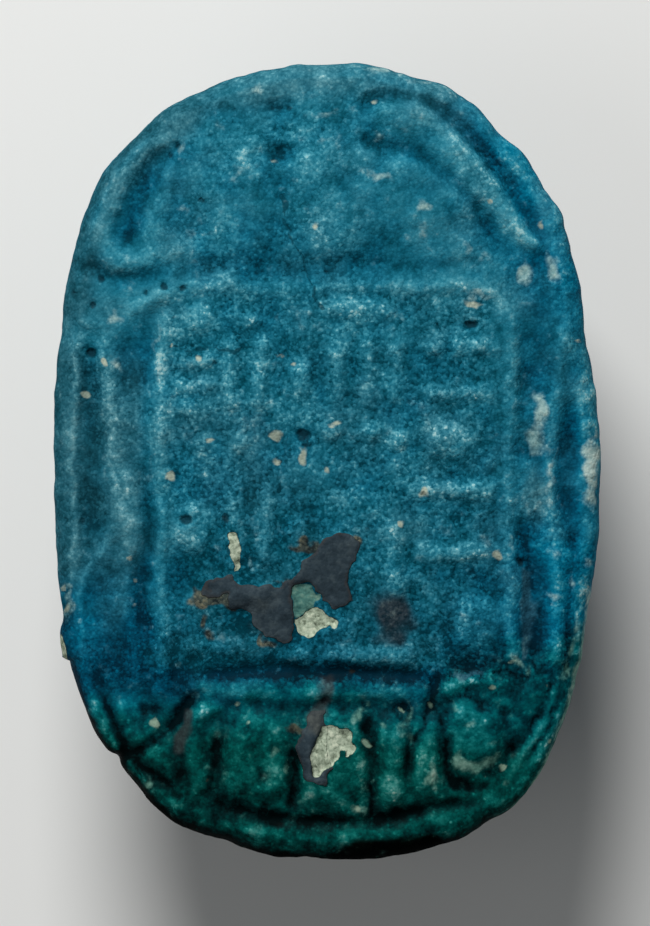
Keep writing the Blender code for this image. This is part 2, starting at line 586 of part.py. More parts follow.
def build_mesh():
    """All three stretches as points in millimetres and triangles that face outwards."""
    points, faces = [], []
    no_swell = np.zeros(OVAL_SIDES)

    def add(stretch):
        start = sum(len(p) for p in points)
        points.append(np.asarray(stretch, float))
        return start

    def bridge(upper, lower, upper_swell=no_swell, lower_swell=no_swell):
        """Triangles between two rings, the first above the second, with their diagonals along a leg."""
        for i in range(OVAL_SIDES):
            j = (i + 1) % OVAL_SIDES
            if abs(upper_swell[i] - lower_swell[j]) <= abs(lower_swell[i] - upper_swell[j]):
                faces.append((upper + i, lower + i, lower + j))
                faces.append((upper + i, lower + j, upper + j))
            else:
                faces.append((upper + i, lower + i, upper + j))
                faces.append((lower + i, lower + j, upper + j))

    flat, cut = triangulate(oval_ring(FACE_INSET), FACE_INSET, face_carving())
    start = add(np.column_stack([flat, face_heights(flat[:, 0], flat[:, 1])]))
    faces += [tuple(start + i for i in face) for face in cut]

    last = start
    for inset, depth in EDGE_RINGS:
        ring = oval_ring(inset)
        height = np.full(OVAL_SIDES, HEIGHT - FACE_CROWN - depth)
        ring_start = add(np.column_stack([ring, height]))
        bridge(last, ring_start)
        last = ring_start

    legs = beetle_legs()
    last_swell = no_swell
    for step in range(FLANK_STEPS):
        down = step / FLANK_STEPS
        inset = FLANK_INSET + (BACK_INSET - FLANK_INSET) * down**2
        depth = np.full(OVAL_SIDES, FLANK_DEPTH * down)
        share = relief(legs, oval_ring(inset)[:, 1], depth)
        swell = LEG_HEIGHT * smooth(share)
        ring_start = add(np.column_stack([oval_ring(inset, swell), LEDGE_Z - depth]))
        bridge(last, ring_start, last_swell, swell)
        last, last_swell = ring_start, swell

    flat, cut = triangulate(oval_ring(BACK_INSET), BACK_INSET, beetle_back())
    start = add(np.column_stack([flat, back_heights(flat[:, 0], flat[:, 1])]))
    faces += [tuple(start + i for i in reversed(face)) for face in cut]
    bridge(last, start, last_swell)
    return np.vstack(points), faces


def faience():
    """Blue glazed faience."""
    material = bpy.data.materials.new("blue_faience")
    material.use_nodes = True
    shader = material.node_tree.nodes["Principled BSDF"]
    shader.inputs["Base Color"].default_value = (0.035, 0.19, 0.27, 1.0)
    shader.inputs["Roughness"].default_value = 0.45
    shader.inputs["Metallic"].default_value = 0.0
    return material


def main():
    for thing in list(bpy.data.objects):
        bpy.data.objects.remove(thing, do_unlink=True)
    points, faces = build_mesh()
    mesh = bpy.data.meshes.new("scarab")
    mesh.from_pydata((points * METRES).tolist(), [], faces)
    mesh.materials.append(faience())
    mesh.shade_smooth()
    mesh.set_sharp_from_angle(angle=math.radians(50))
    mesh.update()
    scarab = bpy.data.objects.new("scarab", mesh)
    bpy.context.scene.collection.objects.link(scarab)
    print("triangles", len(faces))


main()
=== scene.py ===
"""The looks of the scarab amulet: one finely carved piece of worn blue and green faience.

The piece keeps the solid's form, and adds its soft edges, pits, crust and bare patches. Lengths are in
millimetres up to make_piece, which turns them into metres.
"""

import functools
import math

import bpy
import numpy as np
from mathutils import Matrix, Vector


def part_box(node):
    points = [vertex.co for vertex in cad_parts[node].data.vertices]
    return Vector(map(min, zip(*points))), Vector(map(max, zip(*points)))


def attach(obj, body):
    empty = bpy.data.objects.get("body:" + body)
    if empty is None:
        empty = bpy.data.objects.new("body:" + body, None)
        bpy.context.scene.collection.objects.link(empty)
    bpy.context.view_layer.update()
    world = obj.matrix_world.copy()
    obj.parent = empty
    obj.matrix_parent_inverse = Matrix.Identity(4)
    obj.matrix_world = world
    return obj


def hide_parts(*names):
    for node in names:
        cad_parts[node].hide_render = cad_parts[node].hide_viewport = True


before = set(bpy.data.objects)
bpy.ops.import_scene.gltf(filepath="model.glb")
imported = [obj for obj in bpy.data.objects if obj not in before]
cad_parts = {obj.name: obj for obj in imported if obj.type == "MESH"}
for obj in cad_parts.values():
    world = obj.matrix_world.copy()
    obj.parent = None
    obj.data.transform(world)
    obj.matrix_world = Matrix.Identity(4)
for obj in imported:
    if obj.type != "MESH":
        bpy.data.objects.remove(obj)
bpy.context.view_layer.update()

MM = 0.001

# The solid's size, and the measures of its stretches.
LOW, HIGH = (np.array(corner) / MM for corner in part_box("scarab"))
WIDTH, LENGTH = HIGH[0] - LOW[0], HIGH[1] - LOW[1]
HEIGHT = 19.0
MEAN_RADIUS = 18.0
# Where the oval's quarters meet, and how square each quarter is.
OVAL = np.array([0.8, -1.85])
LEFT, RIGHT = WIDTH / 2 + OVAL[0], WIDTH / 2 - OVAL[0]
AHEAD, BEHIND = LENGTH / 2 - OVAL[1], LENGTH / 2 + OVAL[1]
AHEAD_LEFT, AHEAD_RIGHT, BEHIND_LEFT, BEHIND_RIGHT = 2.9, 2.42, 2.58, 2.5
FACE_INSET, FACE_CROWN, FACE_POWER = 1.0, 1.3, 3.0
# The rounded edge from the face down to the ledge. Each point is (inset, depth).
EDGE_PROFILE = (
    (1.0, 0.0), (0.5, 0.3), (0.14, 0.85), (0.0, 1.9), (0.1, 3.2), (0.5, 4.2), (1.2, 4.8), (2.1, 4.8),
)
LEDGE_Z = HEIGHT - FACE_CROWN - EDGE_PROFILE[-1][1]
FLANK_INSET, BACK_INSET, FLANK_DEPTH = 2.1, 3.8, 5.8
BACK_Z = LEDGE_Z - FLANK_DEPTH
BACK_POWER, CROWN_CUT = 2.2, 0.8
WINGS_TOP, HEAD_FOOT = 5.0, 12.0
# Chips of the edge. Each is (x, y, reach, depth).
CHIPS = ((14.6, 14.0, 1.2, 0.14), (-12.6, -17.9, 0.7, 0.15))
# Broad hollows of the hand-cut outline in the same form, and swells where the depth is below 0.
UNEVEN = (
    (4.9, 23.4, 3.0, 0.28), (10.6, 19.7, 1.9, 0.26), (14.1, 14.6, 3.0, -0.42), (15.7, 6.8, 4.5, 0.3),
    (15.9, -7.7, 4.0, 0.36), (15.0, -12.6, 3.5, 0.26), (13.0, -18.6, 2.6, -0.42), (11.6, -20.5, 2.6, -0.42),
    (-6.0, -22.8, 3.5, 0.3), (-12.2, -18.6, 3.5, 0.26), (-16.0, 7.9, 2.2, 0.33), (-11.6, 19.6, 3.0, 0.28),
    (-7.0, 22.6, 6.5, 0.45),
)
# The left edge swells towards a break, where a flake has come off below it.
BREAK_Y, BREAK_STEP, SWELL_LENGTH, SWELL_RISE, SWELL = -12.1, 0.35, 2.9, 1.2, 0.4

# Heights of the carving, and half the widths of its lines.
LINE_HEIGHT, LINE_HALF = 0.3, 0.55
STROKE_HEIGHT, STROKE_HALF, DOT_RADIUS = 0.28, 0.65, 0.6
BOLD_HEIGHT = 0.42
HOLLOW = -0.32
LEG_HEIGHT = 1.1
SLOT, SLOT_HALF = -0.5, 0.28
FRAME_LEFT, FRAME_RIGHT, FRAME_TOP, FRAME_FOOT, FRAME_CORNER = -9.85, 11.0, 10.45, -13.75, 1.4
FRINGE_TOP = -14.8
# Where the bar under the panel starts and ends.
BAR_ENDS = (-8.3, 6.7)
FRINGE_PADS = ((-6.2, -2.2, -20.4), (-1.7, 2.3, -21.2), (2.9, 4.9, -20.7), (5.1, 6.6, -20.4))

# Points along each side of the face's grid and of the back's, and rings of the edge and the flank.
FACE_GRID = 240
BACK_GRID = 120
EDGE_RINGS = 16
FLANK_RINGS = 20

# The height map of the face: millimetres between its samples.
STEP = 0.1
MAP_X = np.arange(-18.0, 18.0, STEP)
MAP_Y = np.arange(-25.5, 25.5, STEP)
X, Y = np.meshgrid(MAP_X, MAP_Y)


def smooth(value):
    """A ramp from 0 to 1 that starts and ends level."""
    value = np.clip(value, 0.0, 1.0)
    return value * value * (3.0 - 2.0 * value)


def span(value, start, end, rise, fall):
    """1 between start and end, with a soft ramp just inside each."""
    return smooth((value - start) / rise) * smooth((end - value) / fall)


def near(value, middle, half, level=1.3):
    """1 near a middle value, fading to 0 at level times half away from it."""
    return smooth(level - np.abs(value - middle) / half)


def patch(x, y, middle_x, middle_y, half_x, half_y, level=1.3):
    """1 over the middle of an oval patch, fading to 0 at level times its half size."""
    return smooth(level - np.hypot((x - middle_x) / half_x, (y - middle_y) / half_y))


def blur(field, size):
    """A map of the face softened over size millimetres."""
    along_y = np.fft.fftfreq(field.shape[0], STEP)[:, None]
    along_x = np.fft.rfftfreq(field.shape[1], STEP)[None, :]
    keep = np.exp(-2.0 * (math.pi * size) ** 2 * (along_x**2 + along_y**2))
    return np.fft.irfft2(np.fft.rfft2(field) * keep, field.shape)


def grain(size, seed):
    """An even random texture of blobs about size millimetres wide, with a spread of 1."""
    field = blur(np.random.default_rng(seed).standard_normal(X.shape), size / 2)
    return (field - field.mean()) / field.std()


def jittered(amount, size, seed):
    """The map's places, each moved at random by about amount millimetres."""
    return X + amount * grain(size, seed), Y + amount * grain(size, seed + 1)


def scatter_noise(points, size, seed):
    """Smooth noise from -1 to 1 in space, for points of any shape."""
    cell = np.floor(points / size).astype(np.int64)
    part = points / size - cell
    part = part * part * (3.0 - 2.0 * part)
    total = np.zeros(len(points))
    for corner in range(8):
        offset = np.array([corner & 1, corner >> 1 & 1, corner >> 2 & 1])
        # A hash of the corner's place and the seed gives its value.
        key = (cell + offset) @ np.array([73856093, 19349663, 83492791]) + seed * 2654435761
        key = (key ^ key >> 13) * 1274126177 & 0xFFFFFFFF
        value = (key ^ key >> 16) & 0xFFFF
        weight = np.prod(np.where(offset, part, 1.0 - part), axis=1)
        total += weight * (value / 32767.5 - 1.0)
    return total


def oval_radius(x, y, inset=0.0):
    """0 at the oval's centre and 1 on the oval that lies inset inside the base's own."""
    left, behind = x < OVAL[0], y < OVAL[1]
    across = np.where(left, LEFT, RIGHT) - inset
    along = np.where(behind, BEHIND, AHEAD) - inset
    power = np.where(
        behind,
        np.where(left, BEHIND_LEFT, BEHIND_RIGHT),
        np.where(left, AHEAD_LEFT, AHEAD_RIGHT),
    )
    outward = (np.abs(x - OVAL[0]) / across) ** power + (np.abs(y - OVAL[1]) / along) ** power
    return outward ** (1.0 / power)


def oval_ring(turn, inset, swell=0.0):
    """The points of a ring inset inside the oval, at each turn, chipped where a flake is lost."""
    def on_oval(angle):
        across, along = WIDTH / 2 * np.cos(angle), LENGTH / 2 * np.sin(angle)
        reach = 1.0 / oval_radius(OVAL[0] + across, OVAL[1] + along)
        return OVAL[0] + across * reach, OVAL[1] + along * reach

    nudge = 0.02
    x, y = on_oval(turn)
    after_x, after_y = on_oval(turn + nudge)
    before_x, before_y = on_oval(turn - nudge)
    ahead_x, ahead_y = after_x - before_x, after_y - before_y
    inward = inset - swell
    if inset < BACK_INSET / 2:
        for chip_x, chip_y, reach, depth in CHIPS + UNEVEN:
            inward = inward + depth * patch(x, y, chip_x, chip_y, reach, reach, 1.0)
        swollen = span(y, BREAK_Y, BREAK_Y + SWELL_LENGTH, BREAK_STEP, SWELL_RISE)
        inward = inward - SWELL * swollen * (x < OVAL[0])
    scale = inward / np.hypot(ahead_x, ahead_y)
    return np.stack([x - scale * ahead_y, y + scale * ahead_x], axis=-1)


class Band:
    """A line of relief, raised where its height is above 0 and sunk where it is below.

    points are (x, y, half width) on the line. Three or more make a smooth curve."""

    CURVE_STEPS = 5

    def __init__(self, height, *points):
        self.height = height
        self.line = np.array(points, float)
        if len(points) > 2:
            self.line = self.curved(self.line)

    def curved(self, points):
        """A Catmull-Rom curve through the points."""
        ends = np.vstack([2 * points[0] - points[1], points, 2 * points[-1] - points[-2]])
        made = []
        for a, b, c, d in zip(ends, ends[1:], ends[2:], ends[3:]):
            for t in np.arange(self.CURVE_STEPS) / self.CURVE_STEPS:
                bend = (2 * a - 5 * b + 4 * c - d) * t**2 + (3 * b - a - 3 * c + d) * t**3
                made.append(b + 0.5 * ((c - a) * t + bend))
        return np.array([*made, points[-1]])

    def share(self, x, y):
        """1 on the middle of the line, and 0 from its edge outwards."""
        best = np.zeros_like(x)
        for a, b in zip(self.line, self.line[1:]):
            run_x, run_y, widening = b - a
            along = ((x - a[0]) * run_x + (y - a[1]) * run_y) / (run_x**2 + run_y**2)
            along = np.clip(along, 0.0, 1.0)
            away = np.hypot(x - a[0] - along * run_x, y - a[1] - along * run_y)
            best = np.maximum(best, 1.0 - away / (a[2] + along * widening))
        return best


class Mound:
    """A raised or sunk patch whose outline is a rounded box, level in its middle."""

    def __init__(self, height, x, y, half_x, half_y, slant=0.0, shoulder=0.45, squareness=2.8):
        self.height, self.x, self.y = height, x, y
        self.half_x, self.half_y, self.slant = half_x, half_y, math.radians(slant)
        self.shoulder, self.squareness = shoulder, squareness

    def share(self, x, y):
        """1 over the level middle, and 0 from the foot of the slope outwards."""
        c, s = math.cos(self.slant), math.sin(self.slant)
        across = np.abs((x - self.x) * c + (y - self.y) * s) / self.half_x
        along = np.abs((y - self.y) * c - (x - self.x) * s) / self.half_y
        radius = (across**self.squareness + along**self.squareness) ** (1.0 / self.squareness)
        return np.clip((1.0 - radius) / self.shoulder, 0.0, 1.0)


# Short names for the forms that repeat. share is the part of a line's height or of a hollow's depth.
def ridge(share, *points):
    return Band(share * LINE_HEIGHT, *points)


def groove(share, *points):
    return Band(share * HOLLOW, *points)


def dimple(share, x, y, half_x, half_y, slant=0.0):
    return Mound(share * HOLLOW, x, y, half_x, half_y, slant, shoulder=0.9, squareness=2.0)


def pad(x, y, half_x, half_y, shoulder):
    return Mound(STROKE_HEIGHT, x, y, half_x, half_y, shoulder=shoulder)


def upright(x, top, foot):
    return Band(STROKE_HEIGHT, (x, top, STROKE_HALF), (x, foot, STROKE_HALF))


def level(y, left, right, half=STROKE_HALF):
    return Band(STROKE_HEIGHT, (left, y, half), (right, y, half))


def dot(x, y):
    return Mound(STROKE_HEIGHT, x, y, DOT_RADIUS, DOT_RADIUS, squareness=2.0)


def top_carving():
    """The dome at the top, a loop on its left and a long crescent on its right."""
    return [
        Mound(LINE_HEIGHT, 0.0, 16.0, 9.6, 4.4, shoulder=0.7),
        # The small hollows above the dome.
        dimple(1.5, -2.9, 18.6, 1.2, 0.8, slant=-14),
        ridge(1.0, (-4.0, 19.3, 0.4), (-5.1, 18.6, 0.5), (-4.3, 17.6, 0.45), (-2.8, 17.2, 0.3)),
        dimple(1.0, -3.2, 21.4, 1.3, 0.6),
        dimple(0.6, -6.0, 21.3, 0.5, 0.4),
        groove(0.8, (2.2, 21.4, 0.6), (3.4, 21.7, 0.6), (5.0, 21.6, 0.5)),
        ridge(0.4, (1.2, 20.9, 0.4), (2.4, 20.5, 0.4), (4.6, 20.9, 0.4)),
        # The loop: its outer arm, foot and inner arm are one line round a long hollow.
        Band(BOLD_HEIGHT, (-9.5, 19.3, 0.5), (-10.9, 18.6, 0.8), (-12.2, 17.2, 0.95), (-13.1, 15.3, 1.0),
             (-13.5, 13.7, 1.0), (-12.9, 12.4, 1.05), (-11.8, 12.1, 1.05), (-10.8, 12.8, 1.0),
             (-10.3, 14.4, 0.85), (-9.8, 16.0, 0.7), (-9.3, 17.6, 0.4)),
        Mound(0.8 * HOLLOW, -12.0, 14.3, 0.9, 1.2, shoulder=0.8, squareness=2.2),
        groove(0.3, (-11.5, 15.6, 0.7), (-10.6, 17.2, 0.5), (-9.5, 18.7, 0.35)),
        groove(0.75, (-14.3, 11.8, 0.5), (-12.6, 11.1, 0.5), (-10.4, 11.4, 0.5), (-9.2, 12.2, 0.4)),
        groove(0.5, (-9.4, 11.9, 0.6), (-4.0, 11.7, 0.6), (3.0, 11.8, 0.6), (9.0, 11.9, 0.5)),
        # The crescent: its body, the crest along its outer edge, and a groove along each side.
        ridge(0.8, (3.4, 20.4, 0.5), (5.0, 20.1, 0.7), (6.9, 19.4, 0.8), (8.2, 18.1, 0.9),
              (9.3, 16.3, 0.8)),
        Band(BOLD_HEIGHT, (3.4, 20.9, 0.4), (5.2, 20.8, 0.5), (6.6, 20.3, 0.6), (7.9, 19.3, 0.65),
             (9.0, 18.0, 0.7), (9.9, 16.5, 0.7), (10.6, 15.1, 0.75), (11.5, 14.0, 0.75), (12.5, 13.1, 0.6)),
        groove(1.4, (5.7, 21.5, 0.4), (7.8, 20.5, 0.55), (9.3, 19.0, 0.6), (10.5, 17.4, 0.65),
               (11.6, 15.9, 0.75), (12.4, 14.6, 0.65), (12.9, 13.8, 0.4)),
        groove(1.6, (2.2, 19.2, 0.4), (3.6, 18.6, 0.55), (5.6, 18.5, 0.55), (7.4, 17.3, 0.5),
               (8.5, 16.1, 0.35)),
        ridge(0.7, (1.7, 20.0, 0.35), (1.6, 18.9, 0.4), (2.4, 17.8, 0.4), (4.2, 17.2, 0.35)),
        groove(1.3, (8.9, 15.6, 0.35), (9.5, 14.3, 0.5), (10.5, 13.1, 0.3)),
    ]


def panel_frame():
    """The thin raised frame of the middle panel, open at its lower right corner."""
    corner = FRAME_CORNER
    return [
        ridge(1.0, (-11.6, 9.0, 0.5), (-10.2, 9.9, 0.6), (-8.6, FRAME_TOP, LINE_HALF)),
        ridge(0.7, (-8.6, FRAME_TOP, LINE_HALF), (FRAME_RIGHT - corner, FRAME_TOP, LINE_HALF)),
        ridge(1.0, (FRAME_RIGHT - corner, FRAME_TOP, LINE_HALF),
              (FRAME_RIGHT - 0.35 * corner, FRAME_TOP - 0.35 * corner, LINE_HALF),
              (FRAME_RIGHT, FRAME_TOP - corner, LINE_HALF)),
        ridge(1.0, (FRAME_RIGHT, FRAME_TOP - corner, LINE_HALF), (FRAME_RIGHT, -11.6, LINE_HALF)),
        ridge(1.0, (FRAME_LEFT, 8.4, LINE_HALF), (FRAME_LEFT - 0.1, FRAME_FOOT, LINE_HALF)),
        ridge(0.8, (-7.6, FRAME_FOOT, 0.7), (6.0, FRAME_FOOT, 0.7)),
        groove(1.1, (-7.0, -12.7, 0.45), (-2.0, -12.55, 0.5), (5.6, -12.7, 0.45)),
    ]


def panel_strokes():
    """Rows of shallow strokes and dots inside the frame, which stand for its worn signs."""
    return [
        # First row.
        pad(-7.7, 8.4, 1.3, 1.0, 0.8),
        dot(-4.6, 8.6),
        level(9.1, 0.4, 3.9),
        *[dot(x, 7.0) for x in (6.4, 7.7, 9.0, 10.0)],
        # Second row.
        *[level(y, -8.8, -6.9) for y in (6.0, 4.5, 3.0)],
        *[upright(x, 7.0, 3.2) for x in (-5.7, -3.8)],
        pad(-1.4, 4.9, 0.8, 1.5, 0.8),
        *[upright(x, 7.2, 3.9) for x in (0.6, 2.5, 4.3)],
        level(4.1, 6.5, 10.0),
        # Third row.
        *[dot(x, y) for x, y in ((-7.5, 0.9), (-5.1, 1.0), (0.3, 1.7), (2.9, 1.7), (4.5, 1.2))],
        pad(7.7, 1.3, 1.8, 1.4, 0.8),
        # Fourth row.
        pad(-8.0, -4.0, 1.4, 2.0, 0.7),
        *[upright(x, -2.1, -6.2) for x in (-5.6, -3.8)],
        pad(-1.8, -4.1, 0.9, 0.9, 0.8),
        level(-1.9, 5.6, 9.6, half=0.75),
        upright(4.1, -4.1, -7.5),
        level(-5.4, 5.6, 9.8, half=0.7),
        # Fifth row.
        *[level(y, -8.2, -3.8, half=0.75) for y in (-8.3, -11.1)],
        dot(-1.6, -11.6),
        level(-11.7, 0.2, 5.2, half=0.7),
        pad(9.0, -9.7, 2.0, 1.9, 0.7),
    ]


def leaves():
    """A long leaf down each side of the panel, with the ridges and hollows around it."""
    return [
        # Left leaf.
        ridge(1.0, (-14.4, 8.4, 0.5), (-13.4, 8.0, 0.6), (-12.9, 4.0, 0.6), (-12.5, -1.0, 0.6),
              (-12.6, -3.4, 0.6), (-13.3, -5.2, 0.5), (-13.8, -5.9, 0.3)),
        ridge(0.9, (-14.1, -5.9, 0.35), (-14.8, -7.6, 0.4), (-14.9, -9.0, 0.4), (-14.6, -11.6, 0.5)),
        groove(1.0, (-14.3, 7.0, 0.4), (-14.2, 3.5, 0.9), (-14.1, -1.0, 1.0), (-14.6, -5.2, 0.5)),
        ridge(0.9, (-14.9, 7.4, 0.35), (-15.2, 2.0, 0.32), (-15.25, -4.0, 0.32), (-15.2, -7.4, 0.32)),
        pad(-11.9, -3.2, 0.9, 3.6, 0.6),
        groove(0.9, (-11.4, -6.4, 0.5), (-11.2, -8.0, 0.7), (-11.0, -9.8, 0.5)),
        groove(0.9, (-10.8, -0.6, 0.4), (-10.75, -4.0, 0.5), (-10.8, -7.2, 0.4)),
        Mound(0.7 * HOLLOW, -11.3, 6.1, 1.1, 2.7, shoulder=0.6),
        ridge(0.6, (-11.9, -8.5, 0.5), (-11.7, -11.0, 0.6), (-11.4, -13.5, 0.4)),
        # Right leaf.
        ridge(1.0, (14.3, 8.0, 0.5), (13.75, 4.0, 0.6), (13.6, 0.0, 0.6), (13.5, -3.0, 0.6),
              (13.7, -4.9, 0.6), (14.4, -6.4, 0.4)),
        groove(0.85, (14.6, 3.6, 0.4), (14.8, 0.5, 0.8), (14.7, -3.0, 0.8), (14.9, -6.0, 0.4)),
        ridge(0.5, (14.6, 7.2, 0.4), (15.5, 4.5, 0.4), (15.9, 1.0, 0.4)),
        Mound(0.7 * HOLLOW, 12.2, 6.0, 1.0, 2.7, shoulder=0.6),
        pad(12.2, -1.9, 1.0, 2.3, 0.6),
        groove(0.9, (11.8, -4.6, 0.45), (12.0, -6.4, 0.5), (12.1, -9.0, 0.5), (12.1, -11.8, 0.3)),
        groove(1.1, (12.6, -6.4, 0.25), (12.8, -8.2, 0.25), (12.6, -10.5, 0.25), (12.2, -12.2, 0.25)),
        ridge(1.2, (13.5, -5.8, 0.5), (13.85, -9.0, 0.65), (13.7, -11.9, 0.5)),
        groove(1.1, (14.5, -6.8, 0.15), (14.55, -11.0, 0.15), (14.1, -13.9, 0.25), (13.2, -16.1, 0.22),
               (11.9, -18.3, 0.22)),
        groove(1.1, (13.8, -12.6, 0.2), (13.3, -14.1, 0.25), (12.3, -16.2, 0.25), (11.0, -17.9, 0.22)),
        ridge(0.4, (13.9, -13.5, 0.3), (12.9, -15.9, 0.35), (11.6, -17.9, 0.3)),
        ridge(0.5, (15.2, -8.0, 0.4), (15.1, -10.8, 0.4), (14.6, -13.4, 0.4), (13.4, -16.8, 0.4)),
    ]


def fringe():
    """The row of pads under the panel, between an arch on the left and a knob on the right."""
    pads = [
        Mound(
            BOLD_HEIGHT,
            (left + right) / 2,
            (FRINGE_TOP + foot) / 2,
            (right - left) / 2,
            (FRINGE_TOP - foot) / 2,
            shoulder=0.45,
            squareness=3.6,
        )
        for left, right, foot in FRINGE_PADS
    ]
    slots = [
        Band(SLOT, (-6.55, -16.6, SLOT_HALF), (-6.75, -19.7, SLOT_HALF)),
        Band(SLOT, (-1.95, -17.3, SLOT_HALF), (-1.95, -20.6, SLOT_HALF)),
        Band(0.9 * SLOT, (2.6, -18.5, 0.2), (2.75, -21.1, SLOT_HALF)),
        Band(0.6 * SLOT, (2.35, -15.2, SLOT_HALF), (2.4, -16.5, SLOT_HALF)),
        Band(SLOT, (6.85, -12.9, 0.25), (6.45, -13.9, 0.25), (5.95, -15.3, 0.22), (5.3, -16.8, 0.22)),
        Band(0.3 * SLOT, (5.05, -17.0, SLOT_HALF), (4.95, -19.0, SLOT_HALF)),
    ]
    return [
        *pads,
        *slots,
        dimple(0.8, -3.8, -18.8, 0.8, 0.8),
        groove(0.6, (-5.6, -14.6, 0.4), (0.0, -14.75, 0.4), (4.8, -14.6, 0.4)),
        # The arch on the left, with a groove that runs down beside it.
        Band(BOLD_HEIGHT, (-6.6, -14.9, 0.5), (-7.8, -15.6, 0.65), (-8.1, -17.4, 0.7), (-7.7, -19.2, 0.5)),
        groove(1.4, (-7.7, -14.1, 0.3), (-8.5, -14.9, 0.4), (-9.3, -15.9, 0.35), (-10.3, -16.7, 0.2),
               (-11.6, -17.5, 0.15)),
        groove(0.8, (-9.0, -17.6, 0.25), (-8.7, -18.6, 0.25), (-8.0, -19.4, 0.2)),
        Mound(0.9 * LINE_HEIGHT, -12.1, -15.1, 0.8, 1.0, slant=20, shoulder=0.8, squareness=2.0),
        Mound(0.9 * LINE_HEIGHT, -11.3, -16.6, 0.8, 0.6, slant=20, shoulder=0.8, squareness=2.0),
        Mound(LINE_HEIGHT, -10.1, -18.0, 0.9, 0.9, shoulder=0.8, squareness=2.0),
        dimple(1.3, -10.6, -14.9, 0.8, 0.4),
        # The groove inside the rim, the rim's roll beside it, and a notch across the roll.
        groove(1.3, (-13.9, -12.4, 0.2), (-13.3, -14.6, 0.22), (-12.7, -16.1, 0.25), (-11.8, -17.6, 0.3),
               (-10.8, -18.6, 0.3), (-9.2, -19.4, 0.25)),
        ridge(1.0, (-14.6, -11.6, 0.5), (-14.1, -14.3, 0.6), (-13.4, -16.2, 0.6), (-12.8, -17.3, 0.5)),
        ridge(0.8, (-12.0, -18.3, 0.5), (-10.7, -19.4, 0.6), (-8.8, -20.7, 0.65), (-5.5, -22.0, 0.6),
              (-2.0, -22.5, 0.55), (1.5, -22.5, 0.5), (4.5, -22.1, 0.4)),
        groove(1.6, (-11.6, -17.7, 0.35), (-13.0, -17.9, 0.35)),
        # The knob on the right, over a deep hollow.
        Mound(BOLD_HEIGHT, 8.75, -16.4, 2.05, 2.15, shoulder=0.5, squareness=3.0),
        groove(1.5, (7.15, -16.6, 0.25), (7.1, -18.3, 0.4), (8.0, -19.4, 0.6), (9.4, -19.6, 0.35)),
        Mound(1.2 * HOLLOW, 11.2, -17.6, 0.35, 0.5, shoulder=0.8, squareness=2.0),
        groove(1.4, (9.0, -14.8, 0.3), (9.9, -15.0, 0.4), (10.8, -15.5, 0.35)),
        dimple(1.0, 8.5, -12.3, 0.7, 0.6),
        ridge(1.0, (7.2, -13.8, 0.5), (9.0, -13.2, 0.5), (10.4, -13.7, 0.4)),
        groove(0.9, (7.3, -10.0, 0.3), (7.7, -12.0, 0.35), (9.0, -12.75, 0.35)),
        Mound(0.8 * LINE_HEIGHT, 12.0, -14.0, 0.9, 0.8, shoulder=0.9, squareness=2.0),
        # The groove between the fringe and the rim.
        groove(1.2, (-6.2, -20.4, 0.35), (-4.2, -21.2, 0.4), (-1.6, -21.5, 0.35), (0.8, -21.65, 0.35),
               (3.0, -21.4, 0.45), (5.0, -21.0, 0.6), (9.2, -20.4, 0.35)),
    ]


def beetle_back():
    """The lines of the beetle's back: its head, pronotum and wing cases."""
    middle = OVAL[0]
    forms = [
        groove(1.0, (middle, WINGS_TOP, 0.45), (middle, -18.5, 0.4)),
        groove(1.0, (middle - 12.4, WINGS_TOP + 1.8, 0.4), (middle - 6.3, WINGS_TOP + 0.4, 0.5),
               (middle, WINGS_TOP, 0.5), (middle + 6.3, WINGS_TOP + 0.4, 0.5),
               (middle + 11.6, WINGS_TOP + 1.8, 0.4)),
        groove(1.0, (middle - 10.0, HEAD_FOOT + 1.4, 0.5), (middle - 5.0, HEAD_FOOT + 0.2, 0.5),
               (middle, HEAD_FOOT, 0.5), (middle + 5.0, HEAD_FOOT + 0.2, 0.5),
               (middle + 10.0, HEAD_FOOT + 1.4, 0.5)),
        ridge(1.0, (middle, HEAD_FOOT + 1.6, 0.5), (middle, HEAD_FOOT + 5.2, 0.6)),
    ]
    for side in (-1, 1):
        eye = middle + side * 8.6, HEAD_FOOT + 3.6
        forms += [
            Mound(2.4 * HOLLOW, *eye, 2.2, 2.3, slant=side * 25, squareness=2.2),
            Mound(BOLD_HEIGHT, middle + side * 5.0, HEAD_FOOT + 2.1, 1.2, 1.0, squareness=2.0),
            groove(1.0, (middle + side * 2.0, HEAD_FOOT + 3.6, 0.4),
                   (middle + side * 2.7, HEAD_FOOT + 6.6, 0.5)),
            groove(1.0, (middle + side * 10.2, WINGS_TOP + 1.1, 0.4),
                   (middle + side * 7.8, WINGS_TOP - 3.0, 0.4)),
        ]
    return forms


def beetle_legs():
    """The legs on each flank, as lines over (y, depth below the ledge)."""
    return [
        Band(1.0, (7.5, 4.4, 1.6), (13.0, 2.6, 1.7), (18.0, 1.6, 1.5)),
        Band(1.0, (4.0, 4.4, 1.6), (-1.0, 2.6, 1.7), (-6.0, 1.6, 1.5)),
        Band(1.0, (-4.5, 4.6, 1.6), (-10.0, 2.9, 1.7), (-17.0, 1.7, 1.5)),
    ]


def relief(forms, x, y):
    """The height of the carving, with rounded lines: the highest raised form plus the deepest sunk one."""
    raised, sunk = np.zeros_like(x), np.zeros_like(x)
    for form in forms:
        height = form.height * smooth(1.3 * form.share(x, y))
        raised, sunk = np.maximum(raised, height), np.minimum(sunk, height)
    return raised + sunk


